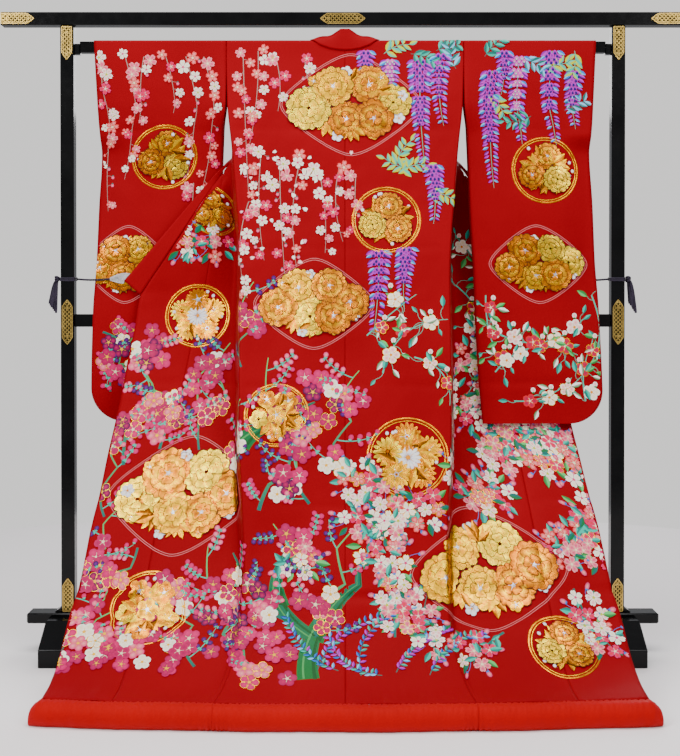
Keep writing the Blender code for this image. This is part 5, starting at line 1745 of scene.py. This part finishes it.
def plate_shape(length, pointed_start, pointed_end):
    """An engraved plate lying flat: ground, double raised rim, diagonal lattice and two rivets."""
    half = length / 2
    wide = PLATE_WIDE / 2
    top = PLATE_THICK / 2
    blunt = ((0.0, -1.0), (0.0, 1.0))
    point = ((1.0, -1.0), (0.55, -0.62), (0.0, 0.0), (0.55, 0.62), (1.0, 1.0))
    outline = []
    for sign, pointed in ((1, pointed_end), (-1, pointed_start)):
        for inwards, share in point if pointed else blunt:
            outline.append(complex(sign * (half - inwards * POINT_LONG), sign * share * wide))
    outline = np.array(outline)
    ground = [], []
    add_slab(*ground, outline, -top, top)
    raised = [], []
    for inset, rim_wide, tall in ((0.92, 0.0022, 0.0007), (0.74, 0.0007, 0.0004)):
        path = outline.real * (1 - (1 - inset) * wide / half) + 1j * outline.imag * inset
        for a, b in zip(path, np.roll(path, -1)):
            add_slab(*raised, strip_outline(a, b, rim_wide), top - 0.0002, top + tall)
    field = outline.real * (half - 0.0034) / half * 0.975 + 1j * outline.imag * 0.72
    for slope in (1, -1):
        for number in range(-30, 31):
            x = number * LATTICE_PITCH
            found = clip_segment(complex(x - wide, -slope * wide), complex(x + wide, slope * wide), field)
            if found:
                add_slab(*raised, strip_outline(*found, LATTICE_WIDE), top - 0.0002, top + 0.0005)
    for x in (-0.62 * half, 0.62 * half):
        for radius, tall in ((0.0024, 0.0007), (0.0016, 0.0013)):
            add_slab(*raised, x + radius * circle(10), top - 0.0002, top + tall)
    return ground, raised


def make_fittings():
    """Engraved gilt plates in the places of the plain ones."""
    shapes = {"long": plate_shape(LONG_PLATE, True, True), "end": plate_shape(END_PLATE, True, False)}
    beam_middle = (BEAM_BOTTOM + BEAM_TOP) / 2
    end_x = BEAM_HALF_LENGTH - END_PLATE / 2 - 0.001
    post_plates = (
        ("top", "end", BEAM_BOTTOM - 0.003 - END_PLATE / 2, -1j),
        ("middle", "long", (MIDDLE_RAIL_BOTTOM + MIDDLE_RAIL_TOP) / 2 - 0.004, 1j),
        ("low", "end", BASE_TOP + 0.002 + END_PLATE / 2, 1j),
    )
    turns = []
    for face, side in (("face", -1.0), ("rear", 1.0)):
        beam_y = POST_LINE_Y + side * (BEAM_DEEP / 2 + FIT_GAP + PLATE_THICK / 2)
        post_y = POST_LINE_Y + side * (POST_DEEP / 2 + FIT_GAP + PLATE_THICK / 2)
        turns.append((f"beam_plate_middle_{face}", "long", (0.0, beam_y, beam_middle), 1.0, side))
        for hand, name in HANDS:
            centre = (hand * end_x, beam_y, beam_middle)
            turns.append((f"beam_plate_{name}_{face}", "end", centre, -hand, side))
            for level, kind, height, way in post_plates:
                centre = (hand * POST_X, post_y, height)
                turns.append((f"post_plate_{name}_{level}_{face}", kind, centre, way, side))
    for node, kind, centre, way, side in turns:
        # The pointed end of an "end" plate looks along -x before it is turned
        way = -way if kind == "end" else way
        points = []
        faces = []
        counts = []
        for flat_points, flat_faces in shapes[kind]:
            first = len(points)
            for x, y, height in flat_points:
                place = complex(x, y) * way
                points.append((centre[0] + place.real, centre[1] + side * height, centre[2] + place.imag))
            for face in flat_faces:
                moved = tuple(first + i for i in face)
                faces.append(moved if side < 0 else moved[::-1])
            counts.append(len(flat_faces))
        finishes = [finish_of("gilt_ground"), finish_of("gilt")]
        plate = mesh_piece(f"engraved_{node}", points, faces, finishes, smooth=False)
        plate.data.polygons.foreach_set("material_index", np.repeat([0, 1], counts))
        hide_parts(node)


def tube_piece(name, paths, radius, material, sides=8):
    """Round cords along lists of points."""
    points = []
    faces = []
    for path in paths:
        ways = np.gradient(path, axis=0)
        ways /= np.maximum(np.linalg.norm(ways, axis=1, keepdims=True), 1e-9)
        across = np.cross(ways, (0.05, 0.1, 1.0))
        level = np.linalg.norm(across, axis=1, keepdims=True)
        across = np.where(level < 0.2, np.cross(ways, (1.0, 0.0, 0.0)), across)
        across /= np.maximum(np.linalg.norm(across, axis=1, keepdims=True), 1e-9)
        up = np.cross(across, ways)
        close_rings(faces, len(points), len(path), sides)
        for place, a, b in zip(path, across, up):
            for turn in circle(sides):
                points.append(place + radius * (turn.real * a + turn.imag * b))
    return mesh_piece(name, points, faces, [material])


def ribbon_strip(points, faces, path, half_wides, thick, across):
    """A flat ribbon along a path, as a thin closed strip."""
    close_rings(faces, len(points), len(path), 4)
    for (x, y, z), half in zip(path, half_wides):
        for a, b in ((-1, -1), (1, -1), (1, 1), (-1, 1)):
            points.append((x + a * half * across[0], y + a * half * across[1] + b * thick / 2, z))


def make_ties():
    """Twisted cord, its turns round the post, the knot with ribbon tails, and the clear clips."""
    purple = finish_of("ribbon")
    for hand, name in HANDS:
        forward = float(curve(WING_EDGE, "forward", np.array(TIE_HEIGHT))) - CLIP_BEHIND
        forward -= float(tuck(hand, np.array(TIE_HEIGHT)))
        post_x = hand * POST_X
        reach_x = POST_WIDE / 2 + FIT_GAP
        reach_y = POST_DEEP / 2 + FIT_GAP
        band_out = reach_x + BAND_THICK
        start_x = GARMENT_X + hand * (CLIP_FAR + CORD_GAP_AT_CLIP)
        end_x = post_x - hand * (band_out + CORD_GAP_AT_BAND)
        part = np.linspace(0, 1, 60)
        strands = []
        for turn in (0.0, math.pi):
            twist = turn + 2 * math.pi * part * STRAND_TWISTS
            x = start_x + (end_x - start_x) * part
            y = POST_LINE_Y - forward + forward * part**2.2 + STRAND_APART * np.cos(twist)
            z = TIE_HEIGHT - CORD_SAG * np.sin(math.pi * part) + STRAND_APART * np.sin(twist)
            strands.append(np.stack([x, y, z], 1))
        cord = tube_piece(f"twisted_tie_{name}", strands, STRAND_RADIUS, purple)
        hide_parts(f"tie_cord_{name}")
        angle = np.linspace(0, 2 * math.pi, 41)
        square = 1.0 / np.maximum(np.abs(np.cos(angle)), np.abs(np.sin(angle))) ** 0.86
        x = post_x + (reach_x + STRAND_RADIUS) * np.cos(angle) * square
        y = POST_LINE_Y + (reach_y + STRAND_RADIUS) * np.sin(angle) * square
        z = TIE_HEIGHT + 0.0008 * np.sin(angle)
        turns = [np.stack([x, y, z + lift], 1) for lift in (-0.0034, 0.0, 0.0034)]
        band = tube_piece(f"tie_turns_{name}", turns, 0.0016, purple)
        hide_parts(f"tie_band_{name}")
        knot_x = post_x + hand * (band_out + KNOT_OUT)
        knot_y = POST_LINE_Y - TAILS_FORWARD
        points = []
        faces = []
        t = np.linspace(0, 1, 12)
        half_wides = np.interp(t, (0, 0.3, 0.9, 1), (0.0018, 0.0036, 0.004, 0.003))
        for number in range(TAIL_COUNT):
            lean = 2 * number / (TAIL_COUNT - 1) - 1
            x = knot_x + hand * (0.001 + 0.0115 * t**0.6) + lean * (0.0045 + 0.004 * t)
            y = knot_y + 0.003 * np.sin(3.0 * t + number) - 0.0015 * (number % 3 - 1)
            z = TIE_HEIGHT - 0.004 - (TAIL_LENGTH + TAIL_STEP * number) * t
            across = (0.94, 0.2 * (-1) ** number)
            ribbon_strip(points, faces, np.stack([x, y, z], 1), half_wides, 0.0007, across)
        angle = np.linspace(0, 2 * math.pi, 25)
        x = knot_x + 0.0052 * np.cos(angle)
        y = knot_y + 0.005 * np.sin(angle)
        loops = []
        for number, lift in enumerate((-0.004, 0.0, 0.004)):
            loops.append(np.stack([x, y, TIE_HEIGHT + lift + 0.0025 * np.cos(angle + number)], 1))
        knot = tube_piece(f"tie_knot_{name}", loops, 0.0024, purple)
        tails = mesh_piece(f"tie_ribbons_{name}", points, faces, [purple], smooth=False)
        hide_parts(f"tie_tails_{name}")
        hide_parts(f"tie_tails_{name}")
        make_clip(hand, name, forward)


def make_clip(hand, name, forward):
    """A clear fan-shaped clip with moulded ribs."""
    outline = np.array([complex(GARMENT_X + hand * side, height) for side, height in CLIP_OUTLINE])
    if hand < 0:
        outline = outline[::-1]
    flat = [], []
    add_slab(*flat, outline, -CLIP_THICK / 2, CLIP_THICK / 2)
    far = complex(GARMENT_X + hand * (CLIP_FAR - 0.004), TIE_HEIGHT)
    for share in (-0.3, 0.0, 0.3, 0.6):
        near = complex(GARMENT_X + hand * 0.592, TIE_HEIGHT + 0.003 + 0.02 * share)
        add_slab(*flat, strip_outline(near, far, 0.0012), CLIP_THICK / 2 - 0.0002, CLIP_THICK / 2 + 0.0016)
    points = [(x, POST_LINE_Y - forward - height, z) for x, z, height in flat[0]]
    clip = mesh_piece(f"fan_clip_{name}", points, flat[1], [finish_of("clear")], smooth=False)
    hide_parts(f"clip_{name}")


# Stage, its lights as name, place, aim, size and power
LIGHTS = [
    ("key_left", (-2.6, -3.2, 3.2), (0.0, 0.1, 0.9), (1.5, 1.8), 135.0),
    ("key_right", (2.6, -3.2, 3.0), (0.0, 0.1, 0.9), (1.8, 1.8), 72.0),
    ("overhead", (0.0, -0.8, 3.6), (0.0, 0.0, 0.6), (3.0, 1.6), 100.0),
    ("rear", (0.8, 3.2, 2.8), (0.0, 0.1, 0.9), (2.4, 2.0), 60.0),
]


def stage_finish(name, colour, roughness):
    finish = Finish(name, roughness=roughness)
    finish.two_tones(finish.noise(0.7, 2.0), colour, [min(1.02 * value, 1.0) for value in colour])
    return finish.material


def area_light(name, place, aim, size, power):
    light = bpy.data.lights.new(name, "AREA")
    light.shape = "RECTANGLE"
    light.size, light.size_y = size
    light.energy = power
    obj = bpy.data.objects.new(name, light)
    obj.location = place
    way = np.array(aim) - np.array(place)
    level = math.hypot(way[0], way[1])
    obj.rotation_euler = (math.atan2(level, -way[2]), 0.0, math.atan2(-way[0], way[1]))
    bpy.context.scene.collection.objects.link(obj)


def make_stage():
    scene = bpy.context.scene
    look = scene.uchikake_stage
    mesh = bpy.data.meshes.new("studio_floor")
    rim = [(place.real, place.imag, 0.0) for place in FLOOR_REACH * circle(128)]
    mesh.from_pydata(rim, [], [tuple(range(128))])
    mesh.materials.append(stage_finish("studio_floor", tuple(look.floor), 0.75))
    floor = bpy.data.objects.new("studio_floor", mesh)
    scene.collection.objects.link(floor)
    world = bpy.data.worlds.new("studio")
    world.use_nodes = True
    nodes = world.node_tree.nodes
    fill = nodes["Background"]
    fill.inputs["Color"].default_value = (0.95, 0.96, 1.0, 1.0)
    fill.inputs["Strength"].default_value = look.fill_light
    backdrop = nodes.new("ShaderNodeBackground")
    backdrop.inputs["Color"].default_value = (*look.backdrop, 1.0)
    seen = nodes.new("ShaderNodeLightPath")
    either = nodes.new("ShaderNodeMixShader")
    for number, start in enumerate((seen.outputs["Is Camera Ray"], fill.outputs[0], backdrop.outputs[0])):
        world.node_tree.links.new(start, either.inputs[number])
    world.node_tree.links.new(either.outputs[0], nodes["World Output"].inputs[0])
    scene.world = world
    for name, place, aim, size, power in LIGHTS:
        area_light(name, place, aim, size, power * look.key_light)
    data = bpy.data.cameras.new("photo_view")
    data.lens = SENSOR * FOCAL_PIXELS / PHOTO_TALL
    data.sensor_width = SENSOR
    data.shift_x, data.shift_y = CAMERA_SHIFT
    data.clip_end = 60.0
    camera = bpy.data.objects.new("photo_view", data)
    camera.location = (0.0, POST_LINE_Y - CAMERA_BACK, CAMERA_HEIGHT)
    camera.rotation_euler = (math.radians(90.0 - CAMERA_DOWN), 0.0, 0.0)
    scene.collection.objects.link(camera)
    scene.camera = camera


# The add-on


class UchikakeRobe(bpy.types.PropertyGroup):
    silk_red: FloatVectorProperty(
        name="Silk red", description="Colour of the outer silk", subtype="COLOR",
        size=3, min=0.0, max=1.0, default=(0.255, 0.001, 0.0055),
    )
    lining_red: FloatVectorProperty(
        name="Lining red", description="Colour of the lining and the hem roll", subtype="COLOR",
        size=3, min=0.0, max=1.0, default=(0.4, 0.0018, 0.005),
    )
    crease_depth: FloatProperty(
        name="Crease depth", description="How deep creases lie against their usual depth",
        subtype="FACTOR", min=0.0, max=2.0, default=1.0,
    )


class UchikakeStand(bpy.types.PropertyGroup):
    lacquer_black: FloatVectorProperty(
        name="Lacquer", description="Colour of the lacquer", subtype="COLOR",
        size=3, min=0.0, max=1.0, default=(0.001, 0.001, 0.0011),
    )
    gilt: FloatVectorProperty(
        name="Gilt", description="Colour of the gilt fittings", subtype="COLOR",
        size=3, min=0.0, max=1.0, default=(0.86, 0.58, 0.15),
    )
    ribbon: FloatVectorProperty(
        name="Ribbon", description="Colour of the ties", subtype="COLOR",
        size=3, min=0.0, max=1.0, default=(0.012, 0.008, 0.018),
    )


class UchikakeStage(bpy.types.PropertyGroup):
    backdrop: FloatVectorProperty(
        name="Backdrop", description="Colour seen behind the stand", subtype="COLOR",
        size=3, min=0.0, max=1.0, default=(1.0, 0.985, 0.97),
    )
    floor: FloatVectorProperty(
        name="Floor", description="Colour of the floor", subtype="COLOR",
        size=3, min=0.0, max=1.0, default=(0.95, 0.91, 0.91),
    )
    key_light: FloatProperty(
        name="Studio lights", description="Strength of the studio lights against their usual one",
        subtype="FACTOR", min=0.0, max=3.0, default=1.0,
    )
    fill_light: FloatProperty(
        name="Fill light", description="Strength of the even light from all round",
        min=0.0, max=3.0, default=0.46,
    )


def make_embroidery():
    stitched = embroider_body()
    stitched.update(embroider_sleeves())
    declare_sheets()


class UCHIKAKE_OT_stage(bpy.types.Operator):
    """Set the floor, the backdrop, the lights and the camera"""

    bl_idname = "uchikake.stage"
    bl_label = "Studio and camera"

    def execute(self, context):
        make_stage()
        return {"FINISHED"}


class UCHIKAKE_OT_body(bpy.types.Operator):
    """Lay the backs, the fronts and the overlap strips"""

    bl_idname = "uchikake.body"
    bl_label = "Body panels"

    def execute(self, context):
        make_body()
        return {"FINISHED"}


class UCHIKAKE_OT_sleeves(bpy.types.Operator):
    """Lay both layers of both sleeves"""

    bl_idname = "uchikake.sleeves"
    bl_label = "Sleeves"

    def execute(self, context):
        make_sleeves()
        return {"FINISHED"}


class UCHIKAKE_OT_collar(bpy.types.Operator):
    """Lay the collar in its three stretches"""

    bl_idname = "uchikake.collar"
    bl_label = "Collar"

    def execute(self, context):
        make_collar()
        return {"FINISHED"}


class UCHIKAKE_OT_hem_roll(bpy.types.Operator):
    """Make the padded roll at the hem"""

    bl_idname = "uchikake.hem_roll"
    bl_label = "Hem roll"

    def execute(self, context):
        make_hem_roll()
        return {"FINISHED"}


class UCHIKAKE_OT_embroidery(bpy.types.Operator):
    """Draw the embroidery and the gold foil and lay them on the silk"""

    bl_idname = "uchikake.embroidery"
    bl_label = "Embroidery"

    def execute(self, context):
        make_embroidery()
        return {"FINISHED"}


class UCHIKAKE_OT_stand(bpy.types.Operator):
    """Finish the lacquered timbers and shape the feet"""

    bl_idname = "uchikake.stand"
    bl_label = "Lacquer stand"

    def execute(self, context):
        make_stand()
        return {"FINISHED"}


class UCHIKAKE_OT_fittings(bpy.types.Operator):
    """Make the engraved gilt plates"""

    bl_idname = "uchikake.fittings"
    bl_label = "Gilt fittings"

    def execute(self, context):
        make_fittings()
        return {"FINISHED"}


class UCHIKAKE_OT_ties(bpy.types.Operator):
    """Make the twisted ties, their ribbons and the clear clips"""

    bl_idname = "uchikake.ties"
    bl_label = "Ties and clips"

    def execute(self, context):
        make_ties()
        return {"FINISHED"}


OPERATORS = (
    UCHIKAKE_OT_stage, UCHIKAKE_OT_body, UCHIKAKE_OT_sleeves, UCHIKAKE_OT_collar, UCHIKAKE_OT_hem_roll,
    UCHIKAKE_OT_embroidery, UCHIKAKE_OT_stand, UCHIKAKE_OT_fittings, UCHIKAKE_OT_ties,
)


class UCHIKAKE_PT_panel(bpy.types.Panel):
    """Lists the pieces of the robe and its stand"""

    bl_label = "Uchikake"
    bl_idname = "UCHIKAKE_PT_panel"
    bl_space_type = "VIEW_3D"
    bl_region_type = "UI"
    bl_category = "Uchikake"

    def draw(self, context):
        column = self.layout.column()
        for group in ("uchikake_robe", "uchikake_stand", "uchikake_stage"):
            settings = getattr(context.scene, group)
            for name in settings.__annotations__:
                column.prop(settings, name)
        for made in OPERATORS:
            column.operator(made.bl_idname)


GROUPS = {
    "uchikake_robe": UchikakeRobe,
    "uchikake_stand": UchikakeStand,
    "uchikake_stage": UchikakeStage,
}


def register():
    for name, group in GROUPS.items():
        bpy.utils.register_class(group)
        setattr(bpy.types.Scene, name, PointerProperty(type=group))
    for made in OPERATORS:
        bpy.utils.register_class(made)
    bpy.utils.register_class(UCHIKAKE_PT_panel)


def unregister():
    bpy.utils.unregister_class(UCHIKAKE_PT_panel)
    for made in reversed(OPERATORS):
        bpy.utils.unregister_class(made)
    for name, group in GROUPS.items():
        delattr(bpy.types.Scene, name)
        bpy.utils.unregister_class(group)


def main():
    register()
    bpy.ops.uchikake.stage()
    bpy.ops.uchikake.body()
    bpy.ops.uchikake.sleeves()
    bpy.ops.uchikake.collar()
    bpy.ops.uchikake.hem_roll()
    bpy.ops.uchikake.embroidery()
    bpy.ops.uchikake.stand()
    bpy.ops.uchikake.fittings()
    bpy.ops.uchikake.ties()
    bpy.context.view_layer.update()


if __name__ == "__main__":
    main()
